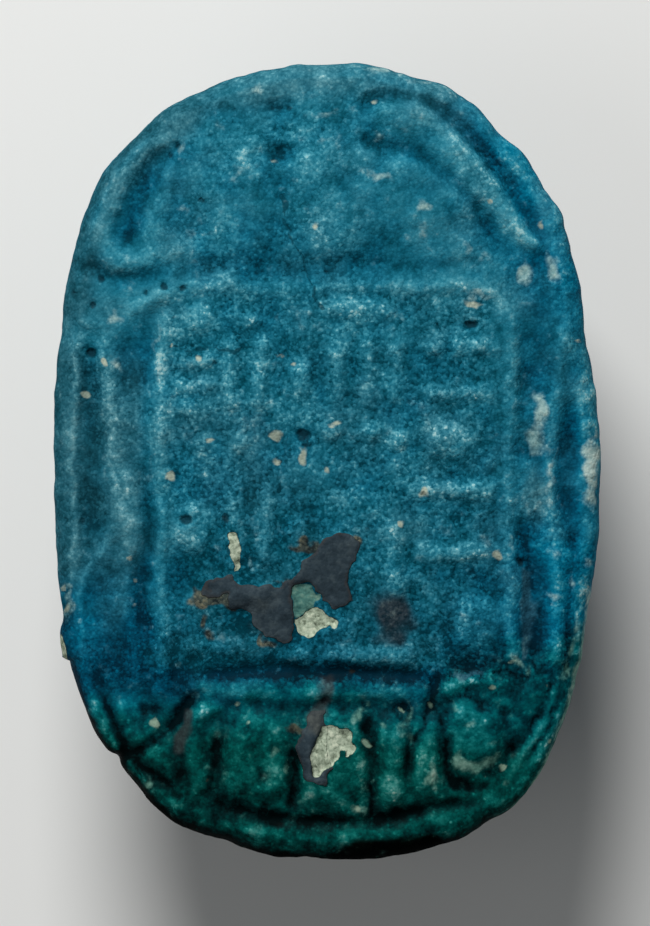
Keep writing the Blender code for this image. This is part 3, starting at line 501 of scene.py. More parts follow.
def inside(outline, x, y):
    """Millimetres in from a closed outline, and below 0 outside it."""
    away, within = np.full(x.shape, np.inf), np.zeros(x.shape, bool)
    for (ax, ay), (bx, by) in zip(outline, outline[1:] + outline[:1]):
        run_x, run_y = bx - ax, by - ay
        along = np.clip(((x - ax) * run_x + (y - ay) * run_y) / (run_x**2 + run_y**2), 0.0, 1.0)
        away = np.minimum(away, np.hypot(x - ax - along * run_x, y - ay - along * run_y))
        if run_y:
            within ^= ((ay > y) != (by > y)) & (x < ax + (y - ay) * run_x / run_y)
    return np.where(within, away, -away)


def spots(places, x, y):
    """Millimetres in from the edge of the nearest spot. Each is (x, y, half width, half length)."""
    best = np.full(x.shape, -9.0)
    for place_x, place_y, half_x, half_y in places:
        radius = np.hypot((x - place_x) / half_x, (y - place_y) / half_y)
        best = np.maximum(best, (1.0 - radius) * min(half_x, half_y))
    return best


# Dark grey crust, the cream body where the glaze is lost, white film, and the small spots and pits.
CRUST = (
    ((-7.5, -7.1), (-6.7, -6.9), (-5.7, -6.7), (-5.1, -7.4), (-4.3, -7.6), (-3.3, -7.3), (-2.1, -7.0),
     (-2.0, -7.9), (-2.0, -9.4), (-1.9, -10.6), (-2.6, -10.8), (-3.5, -10.5), (-4.3, -10.0), (-4.6, -9.2),
     (-5.1, -8.8), (-5.8, -8.6), (-5.9, -8.0), (-6.7, -8.2), (-7.5, -8.1)),
    ((-2.1, -7.0), (-1.2, -6.0), (-0.3, -4.7), (0.4, -4.3), (1.4, -4.3), (2.2, -4.9), (1.5, -6.4),
     (1.3, -7.4), (1.7, -8.1), (1.2, -8.7), (0.5, -8.9), (-0.4, -8.4), (-0.8, -7.5), (-1.3, -7.2),
     (-2.1, -7.5)),
    ((-0.9, -15.0), (0.1, -15.0), (0.0, -16.0), (0.1, -17.8), (0.65, -18.3), (0.25, -18.9), (0.1, -19.4),
     (-0.1, -19.55), (-0.9, -19.3), (-1.5, -19.0), (-1.65, -18.3), (-1.6, -17.5), (-1.85, -17.1),
     (-1.6, -16.2), (-1.3, -15.6)),
)
BARE = (
    ((-2.0, -9.5), (-1.4, -9.4), (-1.2, -9.0), (-0.6, -8.7), (0.2, -9.0), (0.7, -9.6), (0.2, -10.1),
     (-0.6, -10.3), (-1.1, -10.7), (-1.7, -10.3)),
    ((-0.45, -15.95), (0.2, -15.9), (0.8, -15.75), (1.3, -16.05), (1.6, -16.4), (1.7, -17.4), (1.45, -17.8),
     (1.0, -17.6), (0.75, -17.5), (0.6, -18.2), (0.1, -18.6), (-0.35, -19.05), (-0.7, -18.9), (-0.9, -18.0),
     (-0.95, -17.5), (-0.75, -17.1), (-0.65, -16.5)),
    ((-6.0, -4.1), (-5.3, -4.1), (-5.1, -5.2), (-5.1, -6.4), (-5.6, -6.6), (-5.9, -5.4)),
)
# Flakes lost from the rim's side, by the break on the left. Each is (x, y, half width, half length).
FLAKES = ((-16.25, -10.5, 0.24, 1.3), (-15.85, -11.3, 0.2, 0.95))
# Where the glaze is thin and greenish over the body.
THIN = (((-2.1, -7.5), (-1.6, -7.2), (-0.9, -7.4), (-0.5, -8.2), (-0.7, -8.9), (-1.4, -9.4), (-2.0, -9.5)),)
WHITE = (
    (12.55, 1.3, 0.6, 1.2), (12.95, 3.1, 0.5, 1.2), (16.0, -0.5, 0.75, 2.4), (16.1, -1.9, 0.5, 1.1),
    (16.1, 1.2, 0.35, 0.8), (13.5, -1.3, 0.2, 1.2), (11.9, 11.4, 0.5, 0.7), (13.6, 11.45, 0.5, 0.85),
    (3.0, 19.5, 0.5, 0.3), (3.3, 17.0, 0.6, 0.25), (6.2, 15.25, 0.55, 0.5), (8.4, 12.6, 0.3, 0.5),
    (-12.7, 5.9, 0.3, 0.4), (9.1, 9.9, 0.7, 0.3), (11.3, -12.1, 0.35, 0.45), (1.95, -20.8, 0.3, 0.3),
    (-10.1, 7.6, 0.2, 0.6), (-10.0, 5.4, 0.2, 0.7), (5.05, -16.4, 0.2, 0.25), (4.7, -15.2, 0.18, 0.5),
    (-4.6, -6.0, 0.2, 0.4), (0.1, 20.9, 0.6, 0.35), (-4.1, 22.0, 0.45, 0.2), (-8.8, 18.8, 0.3, 0.3),
    (13.7, -8.05, 0.17, 0.22), (13.43, -8.6, 0.12, 0.1), (15.0, -7.1, 0.2, 0.42), (15.65, -6.1, 0.18, 0.5),
    (-15.8, -7.7, 0.3, 0.3), (-15.55, -8.5, 0.35, 0.5), (-15.6, -9.4, 0.25, 0.4), (-14.8, -9.5, 0.1, 0.25),
    (15.05, -9.9, 0.26, 0.9), (14.75, -11.3, 0.28, 0.8), (14.35, -12.7, 0.26, 0.7), (12.0, -12.5, 0.2, 0.4),
    (3.6, 23.9, 1.4, 0.3), (6.4, 23.0, 1.4, 0.3), (6.3, -18.9, 0.33, 0.7), (8.0, -17.9, 0.7, 0.5),
    (8.8, -18.25, 1.0, 0.65), (9.7, -18.0, 0.7, 0.5), (7.75, -14.75, 0.5, 0.25), (8.65, -15.55, 0.4, 0.25),
    (9.9, -16.6, 0.3, 0.4), (2.15, -19.2, 0.13, 0.8), (-3.1, -17.3, 0.4, 0.25), (-2.45, -18.5, 0.2, 0.45),
    (-10.7, -19.4, 0.4, 0.3), (2.4, -14.65, 0.3, 0.2), (1.9, -15.25, 0.3, 0.3), (3.0, -19.05, 0.28, 0.15),
    (3.4, -17.3, 0.28, 0.14), (3.5, -16.05, 0.22, 0.14), (-10.75, -19.4, 0.28, 0.22),
    (-9.0, -12.2, 0.2, 0.22), (10.9, -19.4, 0.25, 0.12), (-12.8, 8.6, 0.4, 0.3),
)
CREAM = (
    (-1.4, 0.4, 0.28, 0.6), (-2.9, 0.0, 0.3, 0.25), (-3.1, 1.5, 0.4, 0.25), (-7.0, 1.2, 0.25, 0.18),
    (-9.4, -0.9, 0.3, 0.2), (-7.57, 6.15, 0.2, 0.22), (-2.84, 6.33, 0.22, 0.2), (-1.92, 5.8, 0.2, 0.17),
    (5.8, -1.9, 0.25, 0.3), (4.4, -3.6, 0.3, 0.25), (0.3, -0.5, 0.2, 0.3), (0.4, 2.2, 0.3, 0.2),
    (-14.5, 4.1, 0.3, 0.3), (-13.3, 5.9, 0.25, 0.3), (-3.1, 17.95, 0.18, 0.12), (-0.6, 14.05, 0.2, 0.15),
    (12.95, 14.35, 0.18, 0.22), (10.3, -5.8, 0.2, 0.3), (15.0, 7.2, 0.2, 0.2), (-9.36, 6.88, 0.2, 0.2),
    (10.05, -13.5, 0.2, 0.2), (6.13, -14.6, 0.16, 0.2), (10.6, -18.45, 0.32, 0.3),
    (13.4, -16.95, 0.18, 0.22), (13.2, -13.5, 0.1, 0.12), (11.13, -12.1, 0.22, 0.16),
    (4.5, -14.8, 0.16, 0.18), (-10.32, -15.65, 0.28, 0.36), (-5.5, -14.67, 0.18, 0.14),
    (-4.72, -15.64, 0.13, 0.12), (2.45, -16.92, 0.34, 0.25), (1.9, -20.85, 0.15, 0.2),
    (9.56, -19.1, 0.12, 0.1), (15.85, -7.6, 0.12, 0.1), (-15.88, -7.6, 0.13, 0.15),
    (-15.6, -8.6, 0.14, 0.3), (-11.55, -7.05, 0.13, 0.16), (-11.8, -5.95, 0.12, 0.13),
    (-11.7, -8.75, 0.15, 0.1), (2.87, 21.7, 0.2, 0.15), (9.9, 15.5, 0.2, 0.2), (8.8, 9.5, 0.55, 0.25),
)
PITS = (
    (-1.4, 1.6, 0.5, 0.4), (-1.2, 0.9, 0.35, 0.3), (-6.7, 5.8, 0.2, 0.25), (5.8, -2.0, 0.2, 0.3),
    (6.6, -3.1, 0.25, 0.15), (-13.5, 11.0, 0.35, 0.3), (-8.6, 11.4, 0.2, 0.25), (-8.6, 10.4, 0.35, 0.25),
    (-9.8, 10.5, 0.25, 0.3), (-14.1, 6.6, 0.4, 0.35), (-14.68, -3.65, 0.16, 0.22), (-8.4, -3.5, 0.5, 0.4),
    (-9.0, 18.9, 0.3, 0.35), (-9.4, 18.4, 0.25, 0.25), (-5.6, 21.2, 0.2, 0.15), (-2.2, 21.3, 0.3, 0.2),
    (-3.3, 21.3, 0.2, 0.15), (-2.86, 18.6, 0.2, 0.25), (-2.3, 18.9, 0.12, 0.14), (-1.9, 18.65, 0.14, 0.14),
    (-9.22, 8.7, 0.13, 0.2), (8.7, 8.2, 0.5, 0.35), (6.7, 8.2, 0.3, 0.2), (-7.5, 15.7, 0.35, 0.25),
    (-4.9, 16.4, 0.2, 0.2), (-1.4, 14.2, 0.25, 0.15), (0.0, 11.3, 0.25, 0.2), (11.6, -6.0, 0.3, 0.4),
    (-6.0, -3.5, 0.2, 0.5), (-5.9, -5.4, 0.2, 0.5), (-9.4, 20.2, 0.2, 0.2), (0.0, -14.3, 0.3, 0.3),
    (-14.4, -1.0, 0.15, 0.2), (-11.7, 15.2, 0.2, 0.25), (-15.2, 10.1, 0.25, 0.3), (-10.8, 10.1, 0.25, 0.25),
    (-14.0, 9.4, 0.3, 0.25),
)
RUST = (
    (-7.4, -9.8, 0.3, 0.35), (-7.0, -10.4, 0.4, 0.2), (-3.5, -10.9, 0.35, 0.45), (-1.9, -16.0, 0.8, 0.25),
    (-6.2, -8.3, 1.2, 0.75), (-7.5, -8.3, 0.7, 0.8), (1.9, -4.7, 0.5, 0.45), (1.7, -12.9, 0.45, 0.35),
    (-7.1, -19.25, 0.2, 0.15), (-1.2, -5.2, 0.9, 0.35), (-2.5, -7.0, 0.5, 0.3), (-4.9, -8.9, 0.5, 0.4),
)
# Where the crust has worn to a brown veil.
VEIL = (
    ((0.0, -13.0, 0.5), (0.0, -13.8, 0.6)), ((0.0, -14.5, 0.5), (-0.5, -15.2, 0.8), (-0.8, -15.9, 0.7)),
    ((-8.2, -15.2, 0.35), (-8.55, -16.3, 0.5), (-8.9, -17.3, 0.5)),
)
# Lines of grey film left in the hollows. Each point is (x, y, half width).
FILM = (
    ((11.95, -6.7, 0.35), (12.05, -8.5, 0.65), (12.05, -10.2, 0.6), (12.0, -11.9, 0.2)),
    ((7.6, -12.8, 0.2), (8.4, -12.95, 0.25), (9.3, -12.6, 0.2)),
)
# Lines rubbed pale: along edges, on the knob, and in beads along the rim.
WORN = (
    ((-15.05, 7.0, 0.13), (-15.2, 2.0, 0.14), (-15.25, -4.0, 0.14), (-15.2, -7.4, 0.13)),
    ((-15.25, 0.1, 0.2), (-15.25, -0.7, 0.2)), ((-14.3, 14.6, 0.12), (-14.35, 13.0, 0.12)),
    ((-14.2, -6.0, 0.13), (-14.75, -7.4, 0.16), (-14.9, -8.6, 0.16), (-14.8, -10.0, 0.16),
     (-14.6, -11.9, 0.2)),
    ((-12.85, 2.5, 0.15), (-12.9, -0.5, 0.15), (-12.65, -1.8, 0.25), (-12.7, -3.0, 0.3)),
    ((-13.0, -4.0, 0.13), (-13.5, -5.5, 0.13)), ((-12.2, -1.8, 0.5), (-11.9, -5.0, 0.5)),
    ((13.5, 0.3, 0.16), (13.55, -2.4, 0.2)), ((13.5, -4.0, 0.12), (13.7, -4.9, 0.12)),
    ((14.1, -5.1, 0.12), (14.5, -5.9, 0.12)), ((15.65, -3.4, 0.12), (15.45, -4.4, 0.12)),
    ((10.8, -8.4, 0.35), (10.9, -10.8, 0.35)),
    ((15.2, -11.5, 0.15), (14.7, -14.4, 0.2), (13.9, -16.6, 0.2), (12.9, -18.7, 0.2), (11.5, -20.6, 0.15)),
    ((8.1, 10.5, 0.25), (9.5, 10.35, 0.3), (10.4, 9.7, 0.3), (10.6, 8.4, 0.25)),
    ((-3.5, 17.1, 0.15), (-5.2, 18.1, 0.3), (-4.8, 18.9, 0.3)), ((-9.95, 6.6, 0.35), (-9.95, 4.2, 0.35)),
    ((-9.95, 3.6, 0.25), (-9.9, 2.4, 0.25)),
    ((6.95, -14.9, 0.3), (7.5, -14.6, 0.42), (8.1, -14.95, 0.42), (8.7, -15.6, 0.38)),
    ((8.6, -15.9, 0.45), (9.4, -16.4, 0.5), (9.9, -17.1, 0.35)), ((7.1, -16.0, 0.25), (7.6, -16.9, 0.4)),
    ((6.4, -17.6, 0.2), (6.45, -20.1, 0.2)), ((4.6, -15.0, 0.2), (4.8, -15.7, 0.2)),
    ((5.0, -16.0, 0.15), (5.2, -16.5, 0.15)), ((7.3, -13.7, 0.25), (8.3, -13.3, 0.35), (9.3, -13.4, 0.25)),
    ((11.8, -12.0, 0.25), (11.9, -12.8, 0.15)), ((12.5, -12.7, 0.2), (12.6, -13.1, 0.15)),
    ((11.1, -15.3, 0.2), (11.3, -15.6, 0.2)), ((2.15, -17.6, 0.2), (2.15, -20.9, 0.2)),
    ((3.3, -16.1, 0.2), (3.7, -16.2, 0.15)), ((3.3, -17.4, 0.15), (3.8, -17.45, 0.15)),
    ((2.8, -19.1, 0.15), (3.2, -19.0, 0.15)), ((-8.9, -17.3, 0.2), (-8.9, -17.9, 0.25)),
    ((-10.9, -17.6, 0.15), (-10.3, -17.25, 0.25), (-9.6, -17.5, 0.15)),
    ((-12.2, -14.3, 0.15), (-11.6, -14.6, 0.25), (-11.3, -15.2, 0.15)),
    ((-11.2, -16.2, 0.15), (-10.8, -16.4, 0.2)), ((-13.95, -14.4, 0.2), (-13.85, -14.9, 0.18)),
    ((-13.5, -15.7, 0.18), (-13.35, -16.1, 0.16)), ((-12.9, -16.9, 0.16), (-12.7, -17.3, 0.16)),
    ((-12.0, -18.2, 0.2), (-11.8, -18.6, 0.18)), ((-5.3, -20.1, 0.3), (-4.8, -20.2, 0.25)),
    ((-4.4, -20.5, 0.25), (-4.0, -20.7, 0.3)),
    ((15.45, -8.0, 0.2), (15.2, -10.5, 0.2), (14.75, -12.5, 0.25)),
    ((14.0, -15.2, 0.2), (13.3, -16.9, 0.25), (12.5, -18.2, 0.2)), ((-5.0, -22.0, 0.2), (-4.2, -22.3, 0.2)),
    ((-2.9, -22.5, 0.25), (-2.3, -22.6, 0.3)), ((-1.6, -22.6, 0.3), (-0.8, -22.5, 0.2)),
    ((0.3, -22.3, 0.2), (0.9, -22.3, 0.2)), ((2.2, -22.2, 0.12), (4.0, -22.1, 0.15)),
    ((5.4, 20.5, 0.1), (6.9, 20.0, 0.1), (8.1, 19.05, 0.1), (9.05, 18.1, 0.12), (9.4, 17.4, 0.1)),
    ((11.4, 14.0, 0.12), (12.7, 13.3, 0.12)), ((1.9, 19.6, 0.12), (1.8, 18.8, 0.15), (2.4, 18.0, 0.12)),
    ((-4.0, 19.2, 0.15), (-5.1, 18.6, 0.25), (-4.4, 17.7, 0.15)), ((-6.6, 22.7, 0.1), (-4.4, 23.3, 0.15)),
)
# Lines of painted shadow, and of dirt, down in the narrow grooves.
SHADE_AND_DIRT_LINES = (
    ((-6.65, -16.7, 0.26), (-6.75, -18.2, 0.3), (-6.85, -19.6, 0.3)),
    ((-2.0, -17.3, 0.1), (-2.05, -18.8, 0.12), (-2.1, -20.3, 0.15)),
    ((2.35, -15.3, 0.12), (2.4, -16.1, 0.14)),
    ((2.6, -18.7, 0.1), (2.65, -20.0, 0.15), (2.75, -21.0, 0.25)), ((-4.0, -18.6, 0.3), (-3.9, -19.0, 0.3)),
    ((6.75, -12.7, 0.2), (6.4, -13.9, 0.24), (5.9, -15.4, 0.2), (5.3, -16.8, 0.14)),
    ((-8.0, -14.3, 0.17), (-8.7, -15.2, 0.2), (-9.5, -16.1, 0.15), (-10.6, -16.9, 0.1),
     (-11.7, -17.6, 0.1)),
    ((-13.3, -14.4, 0.1), (-12.7, -16.0, 0.12), (-11.8, -17.6, 0.15), (-11.0, -18.5, 0.18),
     (-9.7, -19.2, 0.15)), ((7.0, -16.9, 0.1), (7.1, -18.3, 0.2), (7.8, -19.3, 0.45), (9.2, -19.5, 0.4)),
    ((11.15, -17.4, 0.1), (11.25, -17.9, 0.12)),
    ((9.1, -14.9, 0.22), (9.9, -15.2, 0.35), (10.7, -15.6, 0.25)),
    ((7.7, -13.95, 0.12), (8.4, -14.1, 0.16), (9.0, -14.4, 0.1)),
    ((14.5, -7.0, 0.07), (14.55, -10.8, 0.09), (14.1, -13.7, 0.1), (13.2, -16.0, 0.12), (11.9, -18.1, 0.1)),
    ((13.7, -12.8, 0.08), (13.2, -14.3, 0.1), (12.3, -16.2, 0.08), (11.3, -17.6, 0.07)),
    ((12.6, -6.6, 0.16), (12.65, -8.4, 0.2), (12.5, -10.6, 0.14)),
    ((11.9, -4.2, 0.14), (12.05, -5.4, 0.22), (12.2, -6.6, 0.16)),
    ((-5.0, -20.9, 0.12), (-1.6, -21.5, 0.12), (1.6, -21.5, 0.1)),
    ((3.0, -21.3, 0.25), (4.2, -21.1, 0.35), (5.5, -20.9, 0.3)),
    ((-7.0, -12.8, 0.18), (-2.0, -12.75, 0.2), (5.5, -12.8, 0.18)),
    ((12.1, 15.6, 0.25), (12.15, 15.2, 0.25)), ((11.6, 14.5, 0.2), (11.75, 14.2, 0.15)),
    ((10.2, 18.2, 0.2), (10.4, 17.9, 0.2)), ((9.0, 18.75, 0.2), (9.25, 18.4, 0.2)),
    ((9.0, 15.5, 0.12), (9.5, 14.4, 0.18), (9.9, 13.7, 0.1)),
    ((-10.75, -1.0, 0.12), (-10.7, -4.0, 0.18), (-10.8, -6.8, 0.12)),
    ((-3.4, 18.3, 0.4), (-2.6, 18.7, 0.3)), ((-2.4, 21.35, 0.3), (-3.2, 21.3, 0.2)),
    ((-12.0, 13.7, 0.5), (-11.7, 14.3, 0.4)),
)
CRACKS = (
    ((-2.6, 15.8, 0.4), (-2.05, 13.5, 0.4), (-1.5, 12.2, 0.4), (-0.8, 10.3, 0.4), (-0.2, 9.1, 0.4)),
    ((-9.1, 6.8, 0.4), (-7.8, 6.65, 0.4), (-5.8, 6.65, 0.4), (-4.9, 6.95, 0.4)),
)
# Small raised rings. Each is (x, y, radius).
RINGS = ((-6.9, 15.5, 0.75), (-7.1, -19.2, 0.45), (-9.0, -20.1, 0.45), (12.4, -9.6, 0.4), (10.3, -12.9, 0.5))
# Paler ovals, and darker ones where the amount is below 0. Each is (amount, x, y, half width, half
# length, level).
TONE_PATCHES = (
    (-0.12, -11.2, -8.0, 1.0, 2.4, 1.3), (-0.1, -12.9, -7.8, 1.1, 1.8, 1.3),
    (0.06, -12.0, 14.4, 1.0, 1.0, 1.3), (0.1, 11.7, -16.7, 0.7, 1.0, 1.3),
    (-0.06, -3.0, 18.6, 1.0, 0.8, 1.2), (0.04, -4.9, 18.4, 0.5, 0.6, 1.2),
)


def face_marks():
    """The marks of wear and age on the map's samples. Patches and spots are millimetres in from their
    edges, and lines are 1 on their middle and 0 from their edges outwards."""
    rough_x = X + 0.09 * grain(0.5, 21) + 0.05 * grain(0.25, 37)
    rough_y = Y + 0.09 * grain(0.5, 22) + 0.05 * grain(0.25, 38)
    marks = {
        "pit": spots(PITS, *jittered(0.06, 0.3, 23)),
        "white": spots(WHITE, *jittered(0.16, 0.5, 25)),
        "rust": spots(RUST, *jittered(0.2, 0.5, 27)),
        "cream": spots(CREAM, rough_x, rough_y),
        "ring": np.maximum.reduce([0.1 - np.abs(np.hypot(X - x, Y - y) - radius) for x, y, radius in RINGS]),
    }
    for name, outlines in (("crust", CRUST), ("bare", BARE), ("thin", THIN)):
        marks[name] = np.maximum.reduce([inside(outline, rough_x, rough_y) for outline in outlines])
    for name, lines in (("crack", CRACKS), ("film", FILM), ("veil", VEIL), ("worn", WORN), ("dark", SHADE_AND_DIRT_LINES)):
        marks[name] = np.maximum.reduce([Band(1.0, *line).share(rough_x, rough_y) for line in lines])
    return marks


def face_tone(height, carving, marks, panel_share, fringe_share):
    """How pale the face is, from 0 to 1: pale on what stands up, and dark in what lies deep, which is partly
    painted shade.
    """
    fine, broad = height - blur(height, 0.4), height - blur(height, 1.5)
    # The dark in what lies deep is partly painted shade in the hollows.
    carved = (0.8 + 0.2 * panel_share - 0.5 * fringe_share) * broad + (0.5 + 0.5 * fringe_share) * fine
    carved += 0.3 * fringe_share * carving
    limit = np.where(carved > 0, 0.2, 0.34)
    tone = 0.5 + limit * np.tanh(carved / limit)
    tone += 0.03 * grain(0.45, 31) + 0.035 * grain(1.2, 32) + 0.035 * grain(3.5, 33)
    tone += 0.05 * grain(0.8, 40) * fringe_share
    frost = smooth((grain(1.0, 34) + grain(2.4, 35) + 2.0 * broad - 1.3) / 1.4)
    tone += (0.08 - 0.04 * smooth((Y - 11.0) / 1.5)) * frost * (1.0 - fringe_share)
    rubbed = smooth(1.4 * marks["worn"]) * (1.0 + 0.25 * grain(0.4, 36))
    tone += (0.17 - 0.03 * fringe_share) * rubbed + 0.08 * smooth(marks["ring"] / 0.1)
    # Painted shadow, with dirt, darkens the lines down in the grooves.
    tone -= (0.13 + 0.1 * fringe_share) * smooth(1.4 * marks["dark"]) * (1.0 + 0.3 * grain(0.5, 41))

    # From the head to the foot, paler at the head and darker towards the foot, which is partly painted light
    # from beyond the head; then beside the panel, then the bar at its foot.
    tone += 0.04 * smooth((Y - 9.5) / 4.0) + 0.05 * smooth((Y + 5.0) / 4.0) + 0.09 * fringe_share
    tone -= 0.1 * smooth((-8.0 - Y) / 3.0) + 0.02 * smooth((-19.0 - Y) / 2.0)
    tone -= 0.05 * near(Y, -12.5, 2.5, 1.0)
    tone -= 0.04 * smooth((-10.5 - X) / 2.0) * smooth((10.0 - Y) / 3.0)
    tone -= 0.03 * smooth(-10.8 - X) * span(Y, -5.0, 7.0, 2.0, 2.0)
    tone += 0.08 * smooth(-11.6 - X) * span(Y, -14.5, -9.0, 1.5, 2.0)
    tone += 0.07 * span(X, -10.5, -5.0, 1.0, 1.5) * span(Y, -12.5, -8.0, 0.6, 1.5)
    tone += 0.12 * near(X, 13.85, 0.6, 1.4) * span(Y, -13.0, -8.0, 1.0, 1.0)
    bar = 0.05 * near(Y, -13.9, 0.35) - 0.04 * near(Y, -13.2, 0.4)
    bar -= 0.08 * near(Y, -13.6, 0.7) * smooth(X / 2.0)
    tone += bar * span(X, *BAR_ENDS, 0.8, 0.8)
    for amount, *oval in TONE_PATCHES:
        tone += amount * patch(X, Y, *oval)
    return tone


def face_maps():
    """The height of the face over its pillow and the measures of its finish, on the map's samples."""
    forms = [*top_carving(), *panel_frame(), *panel_strokes(), *leaves(), *fringe()]
    worn = np.clip(0.9 + 0.13 * grain(2.2, 13) + 0.1 * grain(0.9, 14), 0.4, 1.3)
    carving = blur(relief(forms, *jittered(0.12, 2.6, 11)) * worn, 0.22)
    marks = face_marks()
    height = carving + sum(
        swing * grain(size, seed)
        for swing, size, seed in ((0.07, 4.0, 1), (0.035, 1.6, 2), (0.022, 0.7, 3), (0.014, 0.3, 4))
    )
    height += 0.1 * smooth(marks["crust"] / 0.12) * smooth(0.5 - marks["bare"] / 0.1)
    height -= 0.14 * smooth(marks["bare"] / 0.12) + 0.08 * smooth(marks["thin"] / 0.12)
    height += 0.09 * smooth(marks["ring"] / 0.1) - 0.2 * smooth((marks["pit"] + 0.05) / 0.3)

    fringe_share = smooth((-12.5 - Y) / 2.0)
    panel_share = span(X, -10.5, 10.5, 1.5, 1.5) * smooth((11.0 - Y) / 1.5) * (1.0 - fringe_share)
    grainy = np.clip(0.35 + 0.65 * panel_share + 0.2 * grain(2.5, 39), 0.0, 1.2) * (1.0 - fringe_share)
    tone = face_tone(height, carving, marks, panel_share, fringe_share)
    return {"height": height, "tone": tone, "grainy": grainy, **marks}


def sample(field, x, y):
    """A map's values at points between its samples."""
    column = np.clip((x - MAP_X[0]) / STEP, 0, len(MAP_X) - 1.001)
    row = np.clip((y - MAP_Y[0]) / STEP, 0, len(MAP_Y) - 1.001)
    c, r = column.astype(int), row.astype(int)
    u, v = column - c, row - r
    low = field[r, c] * (1 - u) + field[r, c + 1] * u
    high = field[r + 1, c] * (1 - u) + field[r + 1, c + 1] * u
    return low * (1 - v) + high * v


def ring_turns(sides):
    return -math.pi / 4 + np.arange(sides) * 2.0 * math.pi / sides


def disc_grid(cells):
    """A square grid bent into a disc: each point's share of the way out and its turn, and the
    numbers of the points round the edge, in the order of ring_turns."""
    u, v = np.meshgrid(np.linspace(-1, 1, cells + 1), np.linspace(-1, 1, cells + 1))
    flat_u, flat_v = u.ravel(), v.ravel()
    wide = np.abs(flat_u) >= np.abs(flat_v)
    out = np.where(wide, flat_u, flat_v)
    safe = np.where(out == 0, 1.0, out)
    turn = np.where(wide, math.pi / 4 * flat_v / safe, math.pi / 2 - math.pi / 4 * flat_u / safe)
    index = np.arange((cells + 1) ** 2).reshape(cells + 1, cells + 1)
    edge = np.concatenate([index[:-1, -1], index[-1, :0:-1], index[:0:-1, 0], index[0, :-1]])
    corners = index[:-1, :-1], index[:-1, 1:], index[1:, 1:], index[1:, :-1]
    quads = np.stack([c.ravel() for c in corners], axis=1)
    # Each cell's first corner lies on the diagonal that it is cut along.
    away = (u[:-1, :-1] + u[1:, 1:]) * (v[:-1, :-1] + v[1:, 1:]) < 0
    quads = np.where(away.ravel()[:, None], np.roll(quads, 1, axis=1), quads)
    return np.abs(out), turn + np.where(out < 0, math.pi, 0.0), edge, quads


class Shell:
    """Points and triangles, added one stretch at a time. Each point keeps its lift: how far the
    carving raises it, or sinks it, from the plain form."""

    def __init__(self):
        self.points, self.lifts, self.triangles, self.count = [], [], [], 0

    def add(self, points, lift=0.0):
        numbers = np.arange(self.count, self.count + len(points))
        self.points.append(points)
        self.lifts.append(np.broadcast_to(lift, len(points)))
        self.count += len(points)
        return numbers

    def fill(self, numbers, quads, down=False):
        quads = numbers[quads]
        if down:
            quads = quads[:, ::-1]
        self.triangles += [quads[:, [0, 1, 2]], quads[:, [0, 2, 3]]]

    def bridge(self, upper, lower):
        """Triangles between two rings, the lower one as fine as the upper or half as fine."""
        after, below = np.roll(upper, -1), np.roll(lower, -1)
        if len(upper) == len(lower):
            self.triangles += [np.stack([upper, lower, below], 1), np.stack([upper, below, after], 1)]
        else:
            first, middle, last = upper[0::2], upper[1::2], np.roll(upper[0::2], -1)
            self.triangles += [
                np.stack([first, lower, middle], 1),
                np.stack([middle, lower, below], 1),
                np.stack([middle, below, last], 1),
            ]


def edge_profile(share):
    """Inset and depth of the rounded edge, at each share of the way down it."""
    at = np.linspace(0, 1, len(EDGE_PROFILE))
    inset, depth = np.array(EDGE_PROFILE).T
    slope_inset, slope_depth = np.gradient(inset, at), np.gradient(depth, at)
    i = min(int(share * (len(at) - 1)), len(at) - 2)
    t = share * (len(at) - 1) - i
    h = at[1]
    basis = (2 * t**3 - 3 * t**2 + 1, t**3 - 2 * t**2 + t, 3 * t**2 - 2 * t**3, t**3 - t**2)

    def hermite(value, slope):
        return (basis[0] * value[i] + basis[1] * h * slope[i]
                + basis[2] * value[i + 1] + basis[3] * h * slope[i + 1])

    return hermite(inset, slope_inset), hermite(depth, slope_depth)


